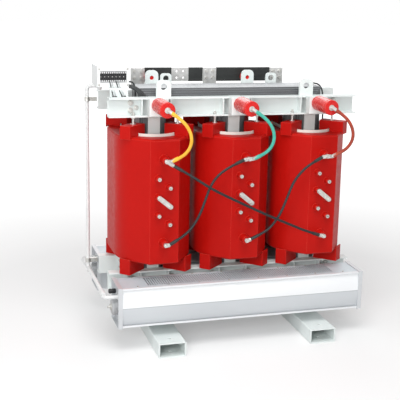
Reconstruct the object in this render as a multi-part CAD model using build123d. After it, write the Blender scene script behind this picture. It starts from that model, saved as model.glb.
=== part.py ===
from build123d import *
import math
import os

# Cast-resin dry type transformer: three oblong coils on a stacked three-limb core, held between
# two pairs of steel clamps on two skid tubes, with a cross-flow fan unit under each long side.
# Millimetres. +X runs along the three coils, -Y is the high-voltage side, +Z is up.
# The origin is on the floor, under the middle of the machine.

# ---- Driving dimensions ----
COIL_PITCH = 460
COIL_HEIGHT = 694
COIL_RADIUS = 214
COIL_STRAIGHT = 194
HV_WALL = 66
FACE_REACH = 334
FACE_WIDTH = 160
FACE_OFFSET = 16
COIL_CHAMFER = 8

BARRIER_WALL = 3
BARRIER_GAP = 9
BARRIER_RISE = 14
LV_GAP = 12
LV_WALL = 36

LIMB_CLEARANCE = 13
CORE_DEPTH = 256
STEP_DROPS = [0, 20, 42, 66]
STEP_DEPTHS = [200, 224, 244, 256]
YOKE_PROUD = 41

TIE_WIDTH = 66
TIE_THICK = 10
LOWER_CLAMP_Z = 283
CLAMP_OVERHANG = 260
CLAMP_HEIGHT = 105
CLAMP_FLANGE = 59
CLAMP_WALL = 8
STIFFENER_SPREAD = 80
STIFFENER_THICK = 6
STUD_HOLE_RADIUS = 8.5

SKID_WIDTH = 152
SKID_HEIGHT = 83
SKID_WALL = 7
SKID_LENGTH = 1066
SKID_INSET = 22
SKID_HOLE_INSET = 68
SKID_HOLE_RADIUS = 9
FOOT_WIDTH = 120
FOOT_SOLE = 10

BLOCK_WIDTH = 68
BLOCK_CENTRE_Y = 50
BLOCK_INSET = 27
BLOCK_LIP = 6
BLOCK_LIP_RISE = 12
BLOCK_ROUNDING = 4
BOTTOM_BLOCK_HEIGHT = 76
TOP_BLOCK_HEIGHT = 60
BOLT_EXPOSED = 40
BOLT_RADIUS = 6
BOLT_REACH = 175

LUG_WIDTH = 82
LUG_RISE = 92
LUG_THICK = 14
LUG_HOLE_RADIUS = 17
FRONT_LUG_INSET = 44
REAR_LUG_INSET = 138
REAR_LUG_SHARE = 0.8

POST_OFFSET = 11
UPPER_POST_DROP = 107
LOWER_POST_RISE = 126
POST_REACH = 63
POST_RADIUS = 20
INSERT_RADIUS = 12
INSERT_LENGTH = 11
TAP_RADIUS = 15
TAP_REACH = 42
TAP_COLUMNS = [-21, 40]
TAP_DROP = 209
TAP_PITCH = 101
TAP_STAGGER = 50

INSULATOR_RADIUS = 42
INSULATOR_LENGTH = 190
INSULATOR_BACK_Y = 255
INSULATOR_RISE = 72
BRACKET_HALF = 52
BRACKET_SHEET = 6

FAN_INSET = 6
FAN_LIFT = 66.5
FAN_HEIGHT = 220
FAN_FRONT_Y = 426
FAN_DEPTH = 194
FAN_BULGE = 12
FAN_SHEET = 3
FAN_FLANGE = 24
FAN_LIP = 12
FAN_BRACKET_RISE = 90
MOTOR_RADIUS = 46
MOTOR_LENGTH = 40
SLOT_PITCH = 13
SLOT_WIDTH = 6
GRILLE_MARGIN = 22
GRILLE_PLAIN_END = 140

LV_BAR_THICK = 8
LV_BAR_HEIGHT = 78
LV_BAR_LIFT = 37
LV_RISER_THICK = 10
LV_RISER_Y = 209
LV_RISER_STEP = 34
LV_RISER_WIDTH = 80
LV_RISER_SHIFTS = {"left": -10, "middle": -36, "right": -76}
LV_TAP_SHIFTS = (-38, 66)
LV_SUPPORT_SHIFTS = (-170, -47)
LV_PHASE_OFFSET = 34
LV_PHASE_WIDTH = 52
LV_PHASE_REACH = 345
SLEEVE_WALL = 1.5

BOX_X_SPAN = (-45, 128)
BOX_Y = (-100, 90)
BOX_HEIGHT = 110
BOX_LIFT = 8
STRIP_INSET = 14
STRIP_DEPTH = 22
STRIP_WAYS = 14

LEAD_DIAMETER = 18
JUMPER_DIAMETER = 14
BARREL_LENGTH = 34
TONGUE_THICK = 4
CONDUIT_RADIUS = 11
CONDUIT_OUTSIDE = 55
CONDUIT_Y = 185
CONDUIT_BEND = 20
CONTACT = 0.3

# ---- Sizes that follow, from the floor up ----
LOWER_CLAMP_TOP = LOWER_CLAMP_Z + CLAMP_HEIGHT
COIL_BASE_Z = LOWER_CLAMP_TOP + BOTTOM_BLOCK_HEIGHT
COIL_TOP_Z = COIL_BASE_Z + COIL_HEIGHT
TOP_BLOCK_Z = COIL_TOP_Z + TOP_BLOCK_HEIGHT
UPPER_CLAMP_Z = TOP_BLOCK_Z + BOLT_EXPOSED
UPPER_CLAMP_TOP = UPPER_CLAMP_Z + CLAMP_HEIGHT
YOKE_TOP_Z = UPPER_CLAMP_TOP + YOKE_PROUD
YOKE_BASE_Z = LOWER_CLAMP_Z - YOKE_PROUD
UPPER_POST_Z = COIL_TOP_Z - UPPER_POST_DROP
LOWER_POST_Z = COIL_BASE_Z + LOWER_POST_RISE
TAP_TOP_Z = COIL_TOP_Z - TAP_DROP
INSULATOR_Z = UPPER_CLAMP_Z + INSULATOR_RISE
FAN_BASE_Z = SKID_HEIGHT + FAN_LIFT
FAN_TOP_Z = FAN_BASE_Z + FAN_HEIGHT
LV_BAR_Z = UPPER_CLAMP_TOP + LV_BAR_LIFT
LV_BEND_Z = TOP_BLOCK_Z + 8
BOX_Z = (YOKE_TOP_Z + BOX_LIFT, YOKE_TOP_Z + BOX_LIFT + BOX_HEIGHT)
CONDUIT_LOW_Z = LOWER_CLAMP_Z + 29
CONDUIT_HIGH_Z = UPPER_CLAMP_TOP + 22

# ---- Sizes that follow, outwards ----
HALF_STRAIGHT = COIL_STRAIGHT / 2
HV_BORE = COIL_RADIUS - HV_WALL
BARRIER_RADIUS = HV_BORE - BARRIER_GAP
BLOCK_INNER = BARRIER_RADIUS - BLOCK_INSET
LV_RADIUS = BARRIER_RADIUS - BARRIER_WALL - LV_GAP
LIMB_WIDTH = 2 * (LV_RADIUS - LV_WALL - LIMB_CLEARANCE)
YOKE_TOP_AXIS = YOKE_TOP_Z - LIMB_WIDTH / 2
YOKE_BASE_AXIS = YOKE_BASE_Z + LIMB_WIDTH / 2
CLAMP_LENGTH = 2 * (COIL_PITCH + CLAMP_OVERHANG)
CLAMP_INSIDE_Y = CORE_DEPTH / 2 + TIE_THICK
CLAMP_EDGE_Y = CLAMP_INSIDE_Y + CLAMP_FLANGE
SKID_X = COIL_PITCH - SKID_INSET
FRONT_LUG_X = COIL_PITCH - FRONT_LUG_INSET
REAR_LUG_X = COIL_PITCH - REAR_LUG_INSET
POST_Y = -(FACE_REACH + POST_REACH)
TAP_Y = -(FACE_REACH + TAP_REACH)
FAN_HALF = CLAMP_LENGTH / 2 - FAN_INSET
SLOT_COUNT = int(2 * (FAN_HALF - FAN_FLANGE - GRILLE_PLAIN_END) / SLOT_PITCH)
COILS = {"left": -COIL_PITCH, "middle": 0, "right": COIL_PITCH}
LV_RISER_X = {name: COILS[name] + shift for name, shift in LV_RISER_SHIFTS.items()}
LV_BAR_ENDS = (LV_RISER_X["left"] - LV_RISER_WIDTH / 2, LV_RISER_X["right"] + LV_RISER_WIDTH / 2 + 4)
LV_BAR_Y = LV_RISER_Y + LV_RISER_STEP + LV_RISER_THICK
LV_TAP_X = [shift - COIL_PITCH / 2 for shift in LV_TAP_SHIFTS]
LV_SUPPORT_X = [LV_SUPPORT_SHIFTS[0] - COIL_PITCH / 2, LV_SUPPORT_SHIFTS[1] + COIL_PITCH / 2]
BOX_X = [shift - CLAMP_LENGTH / 2 for shift in BOX_X_SPAN]
CONDUIT_X = -CLAMP_LENGTH / 2 - CONDUIT_OUTSIDE

FACING_FRONT = Rot(90, 0, 0)
os.makedirs("parts", exist_ok=True)


def save(name, shape):
    """Write one node as a STEP file."""
    export_step(shape, f"parts/{name}.step")


def group(solids):
    """Separate solids that share one node."""
    return Compound(children=list(solids))


def block(x0, x1, y0, y1, z0, z1):
    """A box between two corners."""
    return Pos((x0 + x1) / 2, (y0 + y1) / 2, (z0 + z1) / 2) * Box(x1 - x0, abs(y1 - y0), z1 - z0)


def to_rear(shape):
    """The mirror image of a front piece on the low-voltage side."""
    return mirror(shape, about=Plane.XZ)


def racetrack(radius):
    """An oblong outline with its straight sides along Y."""
    return SlotCenterToCenter(COIL_STRAIGHT, 2 * radius, rotation=90)


def tube_section(outer, inner, z0, height):
    """An oblong ring standing on z0."""
    return Pos(0, 0, z0) * extrude(racetrack(outer) - racetrack(inner), height)


def pin(x, y, z, radius, length):
    """A round pin that points to the front, starting at y."""
    return Pos(x, y - length / 2, z) * FACING_FRONT * Cylinder(radius, length)


def hexagon_head(x, y, z, across_flats, length):
    """A hexagon that points to the front, starting at y."""
    outline = RegularPolygon(across_flats / 2, 6, major_radius=False)
    return Pos(x, y, z) * FACING_FRONT * extrude(outline, length)


# ---- Windings and their insulation ----
def terminal_hull():
    """The front of the coil: a flat terminal face joined to the round end by two tangent planes."""
    centre_y = -HALF_STRAIGHT
    points = []
    for side in (-1, 1):
        corner_x = FACE_OFFSET + side * FACE_WIDTH / 2
        corner_y = -FACE_REACH - centre_y
        turn = math.acos(COIL_RADIUS / math.hypot(corner_x, corner_y))
        angle = math.atan2(corner_y, corner_x) + side * turn
        tangent = (COIL_RADIUS * math.cos(angle), centre_y + COIL_RADIUS * math.sin(angle))
        points.append([(corner_x, -FACE_REACH), tangent])
    (left, left_tangent), (right, right_tangent) = points
    return make_face(Polyline(left, right, right_tangent, (0, centre_y), left_tangent, close=True))


def boss(x, z, radius, reach):
    """A cast boss for one terminal on the flat face."""
    root = 6
    height = reach + root
    cone = Cone(radius * 1.3, radius, height)
    return Pos(x, -FACE_REACH + root - height / 2, z) * FACING_FRONT * cone


def tap_posts():
    """Centres of the six tapping terminals, in two staggered columns."""
    places = []
    for step in range(3):
        places.append((TAP_COLUMNS[0], TAP_TOP_Z - step * TAP_PITCH))
        places.append((TAP_COLUMNS[1], TAP_TOP_Z - TAP_STAGGER - step * TAP_PITCH))
    return places


def main_posts():
    """Centres of the two main terminals."""
    return [(POST_OFFSET, UPPER_POST_Z), (POST_OFFSET, LOWER_POST_Z)]


def hv_coil():
    """The resin-cast high-voltage winding with its terminal face and bosses."""
    outline = racetrack(COIL_RADIUS) + terminal_hull()
    body = Pos(0, 0, COIL_BASE_Z) * extrude(outline, COIL_HEIGHT)
    rims = body.faces().sort_by(Axis.Z)
    body = chamfer(rims[-1].edges() + rims[0].edges(), COIL_CHAMFER)
    body -= Pos(0, 0, COIL_BASE_Z) * extrude(racetrack(HV_BORE), COIL_HEIGHT)
    for x, z in main_posts():
        body += boss(x, z, POST_RADIUS, POST_REACH - INSERT_LENGTH)
    for x, z in tap_posts():
        body += boss(x, z, TAP_RADIUS, TAP_REACH - INSERT_LENGTH)
    return body


def metal_insert(x, y, z, radius):
    """A threaded metal insert in a boss."""
    socket = 5
    depth = 10
    body = pin(x, y + INSERT_LENGTH, z, radius, INSERT_LENGTH)
    return body - pin(x, y + depth, z, socket, depth)


def barrier():
    """The insulating cylinder between the two windings."""
    inner = BARRIER_RADIUS - BARRIER_WALL
    return tube_section(BARRIER_RADIUS, inner, COIL_BASE_Z, COIL_HEIGHT + BARRIER_RISE)


def lv_coil():
    """The low-voltage foil winding."""
    return tube_section(LV_RADIUS, LV_RADIUS - LV_WALL, COIL_BASE_Z, COIL_HEIGHT)


# ---- Resin blocks at the four diagonals of each coil ----
def coil_reach_on_diagonal():
    """How far the outside of the coil lies from the blocks' meeting point, within a block's width."""
    centre_y = -HALF_STRAIGHT
    corner = (FACE_OFFSET + FACE_WIDTH / 2, -FACE_REACH - centre_y)
    turn = math.acos(COIL_RADIUS / math.hypot(*corner))
    angle = math.atan2(corner[1], corner[0]) + turn
    tangent = (COIL_RADIUS * math.cos(angle), COIL_RADIUS * math.sin(angle))
    shift = centre_y + BLOCK_CENTRE_Y

    def along(x, y):
        return (x - y - shift) / math.sqrt(2)

    def across(x, y):
        return (x + y + shift) / math.sqrt(2)

    reach = along(*tangent)
    end_across = across(*corner)
    share = (across(*tangent) + BLOCK_WIDTH / 2) / (across(*tangent) - end_across)
    sloped = reach + share * (along(*corner) - reach)
    round_part = COIL_RADIUS - shift / math.sqrt(2)
    return max(sloped, round_part)


BLOCK_LIP_AT = coil_reach_on_diagonal() + 1
BLOCK_OUTER = BLOCK_LIP_AT + BLOCK_LIP


def on_diagonals(shape):
    """Copies of a radial piece at the four diagonals of a coil."""
    places = []
    for side_x in (-1, 1):
        for side_y in (-1, 1):
            angle = math.degrees(math.atan2(side_y, side_x))
            places.append(Pos(0, side_y * BLOCK_CENTRE_Y, 0) * Rot(0, 0, angle) * shape)
    return places


def bottom_block():
    """A support block with a lip that keeps the coil in place."""
    z0 = LOWER_CLAMP_TOP
    lip_z = COIL_BASE_Z + BLOCK_LIP_RISE
    body = block(BLOCK_INNER, BLOCK_OUTER, -BLOCK_WIDTH / 2, BLOCK_WIDTH / 2, z0, lip_z)
    body -= block(0, BLOCK_LIP_AT, -BLOCK_WIDTH, BLOCK_WIDTH, COIL_BASE_Z, lip_z)
    upright = body.edges().filter_by(Axis.Z).sort_by(Axis.X)[-2:]
    return fillet(upright, BLOCK_ROUNDING)


def top_block():
    """A pressing block with a lip that keeps the coil in place."""
    lip_z = COIL_TOP_Z - BLOCK_LIP_RISE
    body = block(BLOCK_INNER, BLOCK_OUTER, -BLOCK_WIDTH / 2, BLOCK_WIDTH / 2, lip_z, TOP_BLOCK_Z)
    body -= block(0, BLOCK_LIP_AT, -BLOCK_WIDTH, BLOCK_WIDTH, lip_z, COIL_TOP_Z)
    upright = body.edges().filter_by(Axis.Z).sort_by(Axis.X)[-2:]
    return fillet(upright, BLOCK_ROUNDING)


def top_blocks():
    """The four pressing blocks of one coil, grooved to clear the insulating cylinder."""
    clearance = 3
    outer = BARRIER_RADIUS + clearance
    inner = BARRIER_RADIUS - BARRIER_WALL - clearance
    groove = tube_section(outer, inner, COIL_TOP_Z - 1, BARRIER_RISE + clearance + 2)
    return [piece - groove for piece in on_diagonals(top_block())]


def bolt_places():
    """Plan positions of the pressure bolts on one clamp pair, for all coils."""
    step = BOLT_REACH / math.sqrt(2)
    return [
        (axis_x + side_x * step, side_y * (BLOCK_CENTRE_Y + step))
        for axis_x in COILS.values()
        for side_x in (-1, 1)
        for side_y in (-1, 1)
    ]


def pressure_bolt(x, y):
    """A stud with its pressure pad and two nuts."""
    pad = 4
    pad_radius = 15
    nut = 9
    nut_width = 19
    stud_top = UPPER_CLAMP_Z + CLAMP_WALL + 2 * nut
    outline = RegularPolygon(nut_width / 2, 6, major_radius=False)
    stud = Pos(x, y, (TOP_BLOCK_Z + stud_top) / 2) * Cylinder(BOLT_RADIUS, stud_top - TOP_BLOCK_Z)
    stud += Pos(x, y, TOP_BLOCK_Z + pad / 2) * Cylinder(pad_radius, pad)
    stud += Pos(x, y, UPPER_CLAMP_Z - nut) * extrude(outline, nut)
    stud += Pos(x, y, UPPER_CLAMP_Z + CLAMP_WALL) * extrude(outline, nut)
    return stud


# ---- Core ----
def lamination_packages():
    """Half depth in Y, and strip width, of each step of the core."""
    return [(depth / 2, LIMB_WIDTH - drop) for depth, drop in zip(STEP_DEPTHS, STEP_DROPS)]



def mitred_yoke(width):
    """Outline of one yoke strip, mitred to the outer limbs and notched for the middle one."""
    half = width / 2
    outer = COIL_PITCH + half
    inner = COIL_PITCH - half
    points = [
        (-outer, half), (outer, half), (inner, -half), (half, -half),
        (0, 0), (-half, -half), (-inner, -half),
    ]
    return make_face(Polyline(*points, close=True))


def standing_strips(width):
    """Outline of the frame of limbs and both yokes."""
    half = width / 2
    outer = COIL_PITCH + half
    frame = Pos(0, (YOKE_TOP_AXIS + YOKE_BASE_AXIS) / 2) * Rectangle(
        2 * outer, YOKE_TOP_AXIS - YOKE_BASE_AXIS + width
    )
    for side in (-1, 1):
        window = Rectangle(COIL_PITCH - width, YOKE_TOP_AXIS - YOKE_BASE_AXIS - width)
        frame -= Pos(side * COIL_PITCH / 2, (YOKE_TOP_AXIS + YOKE_BASE_AXIS) / 2) * window
    return frame


def through_depth(outline, half_depth):
    """A flat outline in X and Z, made solid to both sides of the middle plane."""
    return extrude(Plane.XZ * outline, half_depth, both=True)


def core_pieces():
    """The core with its bottom yoke, and the top yoke that is laid in last."""
    limbs = None
    yoke = None
    for half_depth, width in lamination_packages():
        strip = through_depth(Pos(0, YOKE_TOP_AXIS) * mitred_yoke(width), half_depth)
        frame = through_depth(standing_strips(width), half_depth)
        yoke = strip if yoke is None else yoke + strip
        limbs = frame if limbs is None else limbs + frame
    return limbs - yoke, yoke


def tie_plates():
    """The flat steel straps that tie the upper clamps to the lower ones, in front of each limb."""
    y0 = -CORE_DEPTH / 2
    half = TIE_WIDTH / 2
    return [
        block(x - half, x + half, y0 - TIE_THICK, y0, LOWER_CLAMP_Z, UPPER_CLAMP_TOP)
        for x in COILS.values()
    ]


# ---- Clamps, skids and lifting lugs ----
def channel(z0):
    """A rolled channel with its flanges to the front."""
    z1 = z0 + CLAMP_HEIGHT
    back = -CLAMP_INSIDE_Y
    edge = -CLAMP_EDGE_Y
    half = CLAMP_LENGTH / 2
    body = block(-half, half, edge, back, z0, z1)
    hollow = block(-half, half, edge, back - CLAMP_WALL, z0 + CLAMP_WALL, z1 - CLAMP_WALL)
    body -= hollow
    plate = block(
        -STIFFENER_THICK / 2, STIFFENER_THICK / 2, edge + 1, back - CLAMP_WALL,
        z0 + CLAMP_WALL, z1 - CLAMP_WALL,
    )
    for axis_x in COILS.values():
        for side in (-1, 1):
            body += Pos(axis_x + side * STIFFENER_SPREAD, 0, 0) * plate
    return body


def stud_places(z0):
    """Where the cross studs pass through the ends of a clamp pair."""
    x = COIL_PITCH + LIMB_WIDTH / 2 + 60
    return [(side * x, z0 + share * CLAMP_HEIGHT) for side in (-1, 1) for share in (0.3, 0.7)]


def drilled_for_studs(body, z0):
    """A clamp with its cross stud holes."""
    for x, z in stud_places(z0):
        body -= pin(x, 0, z, STUD_HOLE_RADIUS, CLAMP_EDGE_Y)
    return body


def upper_clamp():
    """The front upper clamp, drilled for its pressure bolts."""
    body = drilled_for_studs(channel(UPPER_CLAMP_Z), UPPER_CLAMP_Z)
    for x, y in bolt_places():
        if y < 0:
            body -= Pos(x, y, UPPER_CLAMP_Z) * Cylinder(BOLT_RADIUS + CONTACT, 3 * CLAMP_WALL)
    return body


def lower_clamp():
    """The front lower clamp with its two feet, welded as one."""
    body = drilled_for_studs(channel(LOWER_CLAMP_Z), LOWER_CLAMP_Z)
    back = -CLAMP_INSIDE_Y
    edge = -CLAMP_EDGE_Y
    for side in (-1, 1):
        x0 = side * SKID_X - FOOT_WIDTH / 2
        x1 = side * SKID_X + FOOT_WIDTH / 2
        foot = block(x0, x1, edge, back, SKID_HEIGHT, LOWER_CLAMP_Z)
        foot -= block(
            x0 + CLAMP_WALL, x1 - CLAMP_WALL, edge, back - CLAMP_WALL,
            SKID_HEIGHT + FOOT_SOLE, LOWER_CLAMP_Z,
        )
        body += foot
    return body


def skid(x):
    """A rectangular steel tube under the machine, with a fixing hole near each end."""
    body = block(
        x - SKID_WIDTH / 2, x + SKID_WIDTH / 2, -SKID_LENGTH / 2, SKID_LENGTH / 2, 0, SKID_HEIGHT
    )
    inner = SKID_WIDTH / 2 - SKID_WALL
    body = fillet(body.edges().filter_by(Axis.Y), SKID_WALL)
    body -= block(x - inner, x + inner, -SKID_LENGTH, SKID_LENGTH, SKID_WALL, SKID_HEIGHT - SKID_WALL)
    for side in (-1, 1):
        y = side * (SKID_LENGTH / 2 - SKID_HOLE_INSET)
        body -= Pos(x, y, SKID_HEIGHT / 2) * Cylinder(SKID_HOLE_RADIUS, 2 * SKID_HEIGHT)
    return body


def lifting_lug(x, y, width):
    """An upright plate with a lifting hole, on top of a clamp."""
    corner = width * 0.28
    outline = Pos(0, LUG_RISE / 2) * Rectangle(width, LUG_RISE)
    outline = fillet(outline.vertices().group_by(Axis.Y)[-1], corner)
    outline -= Pos(0, LUG_RISE - width * 0.44) * Circle(LUG_HOLE_RADIUS)
    plate = extrude(Plane.XZ * outline, LUG_THICK / 2, both=True)
    return Pos(x, y, UPPER_CLAMP_TOP) * plate


def cross_stud(x, z):
    """A stud that draws one end of a clamp pair together, with a nut and washer at each end."""
    washer = 3
    nut = 13
    reach = CLAMP_INSIDE_Y + CLAMP_WALL
    overhang = washer + nut + 6
    stud = pin(x, reach + overhang, z, 8, 2 * (reach + overhang))
    for y in (-reach, reach + washer):
        stud += pin(x, y, z, 15, washer)
    stud += hexagon_head(x, -reach - washer, z, 24, nut)
    stud += hexagon_head(x, reach + washer + nut, z, 24, nut)
    return stud


# ---- High-voltage insulators, leads and links ----
def hv_insulator(x):
    """A cast post insulator that points to the front, with a flange ring at its face."""
    ring = 14
    groove = 3
    y0 = -INSULATOR_BACK_Y
    body = pin(x, y0, INSULATOR_Z, INSULATOR_RADIUS - groove, INSULATOR_LENGTH)
    body += pin(x, y0, INSULATOR_Z, INSULATOR_RADIUS, INSULATOR_LENGTH - 2 * ring)
    front = y0 - INSULATOR_LENGTH
    body += pin(x, front + ring, INSULATOR_Z, INSULATOR_RADIUS, ring)
    edges = body.edges().filter_by(GeomType.CIRCLE).sort_by(Axis.Y)
    return chamfer([edges[0], edges[-1]], 2.5)


def insulator_bracket(x):
    """A folded steel bracket that carries an insulator in front of the upper clamp."""
    half = BRACKET_HALF
    sheet = BRACKET_SHEET
    y0 = -CLAMP_EDGE_Y
    y1 = -INSULATOR_BACK_Y
    z0 = UPPER_CLAMP_Z + 12
    z1 = UPPER_CLAMP_TOP
    body = block(x - half, x + half, y1, y0, z0, z1)
    body -= block(x - half + sheet, x + half - sheet, y1 + sheet, y0 + 1, z0 - 1, z1 - sheet)
    return body


def lead_terminal(x, points):
    """The insulator's stud and nut, with the crimped barrel of the cable that leaves it."""
    front = -(INSULATOR_BACK_Y + INSULATOR_LENGTH)
    body = pin(x, front, INSULATOR_Z, 16, 3)
    body += hexagon_head(x, front - 3, INSULATOR_Z, 22, 9)
    body += pin(x, front, INSULATOR_Z, 8, 26)
    return body + crimp_barrel(points, LEAD_DIAMETER)


def run_lengths(points):
    """Lengths of the straight runs between the points of a route."""
    return [(Vector(*b) - Vector(*a)).length for a, b in zip(points, points[1:])]


def route_radii(points):
    """The largest bend radius that each pair of runs allows."""
    runs = run_lengths(points)
    radii = []
    for i in range(1, len(points) - 1):
        before = Vector(*points[i]) - Vector(*points[i - 1])
        after = Vector(*points[i + 1]) - Vector(*points[i])
        turn = math.radians(before.get_angle(after))
        radii.append(0.45 * min(runs[i - 1], runs[i]) / math.tan(turn / 2))
    return radii


def cable(name, points, diameter):
    """A cable of straight runs joined by tangent arcs."""
    radii = route_radii(points)
    path = FilletPolyline(*points, radius=radii)
    start = Plane(origin=path @ 0, z_dir=path % 0)
    tube = sweep(start * Circle(diameter / 2), path=path)
    expected = math.pi * diameter ** 2 / 4 * path.length
    print(
        name, "length", round(path.length), "radii", [round(r) for r in radii],
        "volume ratio", round(tube.volume / expected, 4),
    )
    return tube


def barrel_root(points):
    """Where the crimp barrel of a cable begins."""
    end = Vector(*points[0])
    return end - (Vector(*points[1]) - end).normalized() * BARREL_LENGTH


def crimp_barrel(points, diameter):
    """The barrel that ends, square to the cable, where the cable's route begins."""
    root = barrel_root(points)
    frame = Plane(origin=root, z_dir=Vector(*points[0]) - root)
    return extrude(frame * Circle(diameter / 2 + 1.5), BARREL_LENGTH)


def crimped_end(post_x, post_z, points, diameter, layer_y):
    """A cable lug: a flat tongue on the terminal, and the barrel."""
    thick = TONGUE_THICK
    tongue_half = 10
    root = barrel_root(points)
    reach = math.hypot(root.X - post_x, root.Z - post_z) + 4
    turn = math.degrees(math.atan2(root.Z - post_z, root.X - post_x))
    outline = Pos(reach / 2, 0) * Rectangle(reach, 2 * tongue_half) + Circle(tongue_half + 2)
    tongue = Pos(post_x, layer_y, post_z) * FACING_FRONT * extrude(Rot(0, 0, turn) * outline, thick)
    return tongue + crimp_barrel(points, diameter) - pin(post_x, layer_y + 1, post_z, 5, thick + 2)


def post_bolt(x, y, z, length):
    """A hexagon bolt with its washer, seated at y, and its shank in the insert behind it."""
    washer = pin(x, y, z, 10.5, 2)
    return washer + hexagon_head(x, y - 2, z, 16, 8) + pin(x, y + length, z, 4.5, length)


def tap_link(x):
    """The flat link that joins one pair of tapping terminals."""
    (x0, z0), (x1, z1) = tap_posts()[2], tap_posts()[3]
    end = 13
    turn = math.degrees(math.atan2(z1 - z0, x1 - x0))
    length = math.hypot(x1 - x0, z1 - z0)
    outline = SlotCenterToCenter(length, 2 * end)
    outline -= [place * Circle(5.5) for place in GridLocations(length, 1, 2, 1)]
    middle = Pos(x + (x0 + x1) / 2, TAP_Y, (z0 + z1) / 2)
    return middle * FACING_FRONT * extrude(Rot(0, 0, turn) * outline, 5)


# ---- Low-voltage bars behind the upper clamps ----
def neutral_riser(name):
    """A bar that steps back from the winding's lead-out and rises to the neutral bar."""
    axis_x = COILS[name]
    x = LV_RISER_X[name]
    thick = LV_RISER_THICK
    half = LV_RISER_WIDTH / 2
    y0 = LV_RISER_Y
    y1 = y0 + LV_RISER_STEP
    low = min(x - half, axis_x - 20)
    high = max(x + half, axis_x + 20)
    body = block(axis_x - 20, axis_x + 20, y0, y0 + thick, COIL_TOP_Z, LV_BEND_Z)
    body += block(low, high, y0, y1 + thick, LV_BEND_Z, LV_BEND_Z + thick)
    body += block(x - half, x + half, y1, y1 + thick, LV_BEND_Z, LV_BAR_Z + LV_BAR_HEIGHT)
    return body


def phase_bar(axis_x):
    """A bent bar from the winding to a four-hole terminal pad at the rear."""
    thick = LV_RISER_THICK
    x0 = axis_x + LV_PHASE_OFFSET
    x1 = x0 + LV_PHASE_WIDTH
    y0 = LV_RISER_Y - 2 * thick
    body = block(x0, x1, y0, y0 + thick, COIL_TOP_Z, LV_BEND_Z + thick)
    body += block(x0, x1, y0, LV_PHASE_REACH, LV_BEND_Z, LV_BEND_Z + thick)
    pad = Pos((x0 + x1) / 2, LV_PHASE_REACH - LV_PHASE_WIDTH / 2, LV_BEND_Z)
    for place in GridLocations(28, 28, 2, 2):
        body -= pad * place * Cylinder(6, 3 * thick)
    return body


def pad_holes(x):
    """Centres of the four bolts in one joint of the neutral bar."""
    middle = LV_BAR_Z + LV_BAR_HEIGHT / 2
    return [(x + 20 * side_x, middle + 19 * side_z) for side_x in (-1, 1) for side_z in (-1, 1)]


def neutral_bar():
    """The flat bar that joins the three windings and ends in a drilled pad for the neutral."""
    x0, x1 = LV_BAR_ENDS
    body = block(x0, x1, LV_BAR_Y, LV_BAR_Y + LV_BAR_THICK, LV_BAR_Z, LV_BAR_Z + LV_BAR_HEIGHT)
    for x, z in pad_holes(sum(LV_TAP_X) / 2):
        body -= pin(x, LV_BAR_Y + 2 * LV_BAR_THICK, z, 6.5, 4 * LV_BAR_THICK)
    return body


def bar_sleeves():
    """Shrink sleeves on the covered stretches of the neutral bar."""
    half = LV_RISER_WIDTH / 2 + 2
    stretches = [
        (LV_RISER_X["left"] + half, LV_TAP_X[0]),
        (LV_TAP_X[1], LV_RISER_X["middle"] - half),
        (LV_RISER_X["middle"] + half, LV_RISER_X["right"] - half),
    ]
    z0 = LV_BAR_Z
    z1 = LV_BAR_Z + LV_BAR_HEIGHT
    y0 = LV_BAR_Y
    y1 = LV_BAR_Y + LV_BAR_THICK
    wall = SLEEVE_WALL
    sleeves = []
    for x0, x1 in stretches:
        cover = block(x0, x1, y0 - wall, y1 + wall, z0 - wall, z1 + wall)
        sleeves.append(cover - block(x0 - 1, x1 + 1, y0, y1, z0, z1))
    return sleeves


def joint_bolt(x, z):
    """A bolt through a riser and the neutral bar, its nut at the rear."""
    front = LV_BAR_Y - LV_RISER_THICK
    rear = LV_BAR_Y + LV_BAR_THICK
    washer = pin(x, front, z, 10, 2)
    return washer + hexagon_head(x, front - 2, z, 17, 7) + hexagon_head(x, rear + 9, z, 17, 9)


def support_bracket(x):
    """A round-topped plate on the rear clamp that carries a support insulator."""
    rise = 108
    width = 78
    outline = Pos(0, rise / 2) * Rectangle(width, rise)
    outline = fillet(outline.vertices().group_by(Axis.Y)[-1], 28)
    outline -= Pos(0, rise - 44) * Circle(12)
    plate = extrude(Plane.XZ * outline, CLAMP_WALL / 2, both=True)
    return Pos(x, CLAMP_EDGE_Y - CLAMP_WALL / 2, UPPER_CLAMP_TOP) * plate


def support_insulator(x):
    """A short ribbed post insulator between its plate and the neutral bar."""
    length = LV_BAR_Y - SLEEVE_WALL - CLAMP_EDGE_Y
    z = UPPER_CLAMP_TOP + 64
    y1 = LV_BAR_Y - SLEEVE_WALL
    body = pin(x, y1, z, 24, length)
    rib = length / 5
    for step in (1, 3):
        body += pin(x, y1 - step * rib, z, 32, rib)
    return body


# ---- Cross-flow fan units ----
def fan_profile():
    """Side outline of the fan body: lips along the top and bottom of a bulging front panel."""
    y0 = -FAN_FRONT_Y
    y1 = -(FAN_FRONT_Y - FAN_DEPTH)
    z0 = FAN_BASE_Z
    z1 = FAN_TOP_Z
    middle = (z0 + z1) / 2
    flat = y0 + FAN_BULGE
    bow = ThreePointArc((flat, z1 - FAN_LIP), (y0, middle), (flat, z0 + FAN_LIP))
    outline = bow + Polyline(
        (flat, z0 + FAN_LIP), (y0 + 2, z0 + FAN_LIP), (y0 + 2, z0), (y1, z0), (y1, z1),
        (y0 + 2, z1), (y0 + 2, z1 - FAN_LIP), (flat, z1 - FAN_LIP),
    )
    return make_face(outline)


def along_x(outline, x0, x1):
    """An outline in Y and Z, made solid between two planes."""
    return Pos(x0, 0, 0) * extrude(Plane.YZ * outline, x1 - x0)


def fan_hollow():
    """The air space of the fan body."""
    y0 = -FAN_FRONT_Y + FAN_BULGE + FAN_SHEET
    y1 = -(FAN_FRONT_Y - FAN_DEPTH) - FAN_SHEET
    half = FAN_HALF - FAN_FLANGE
    return block(-half, half, y0, y1, FAN_BASE_Z + FAN_SHEET, FAN_TOP_Z + 1)


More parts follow.
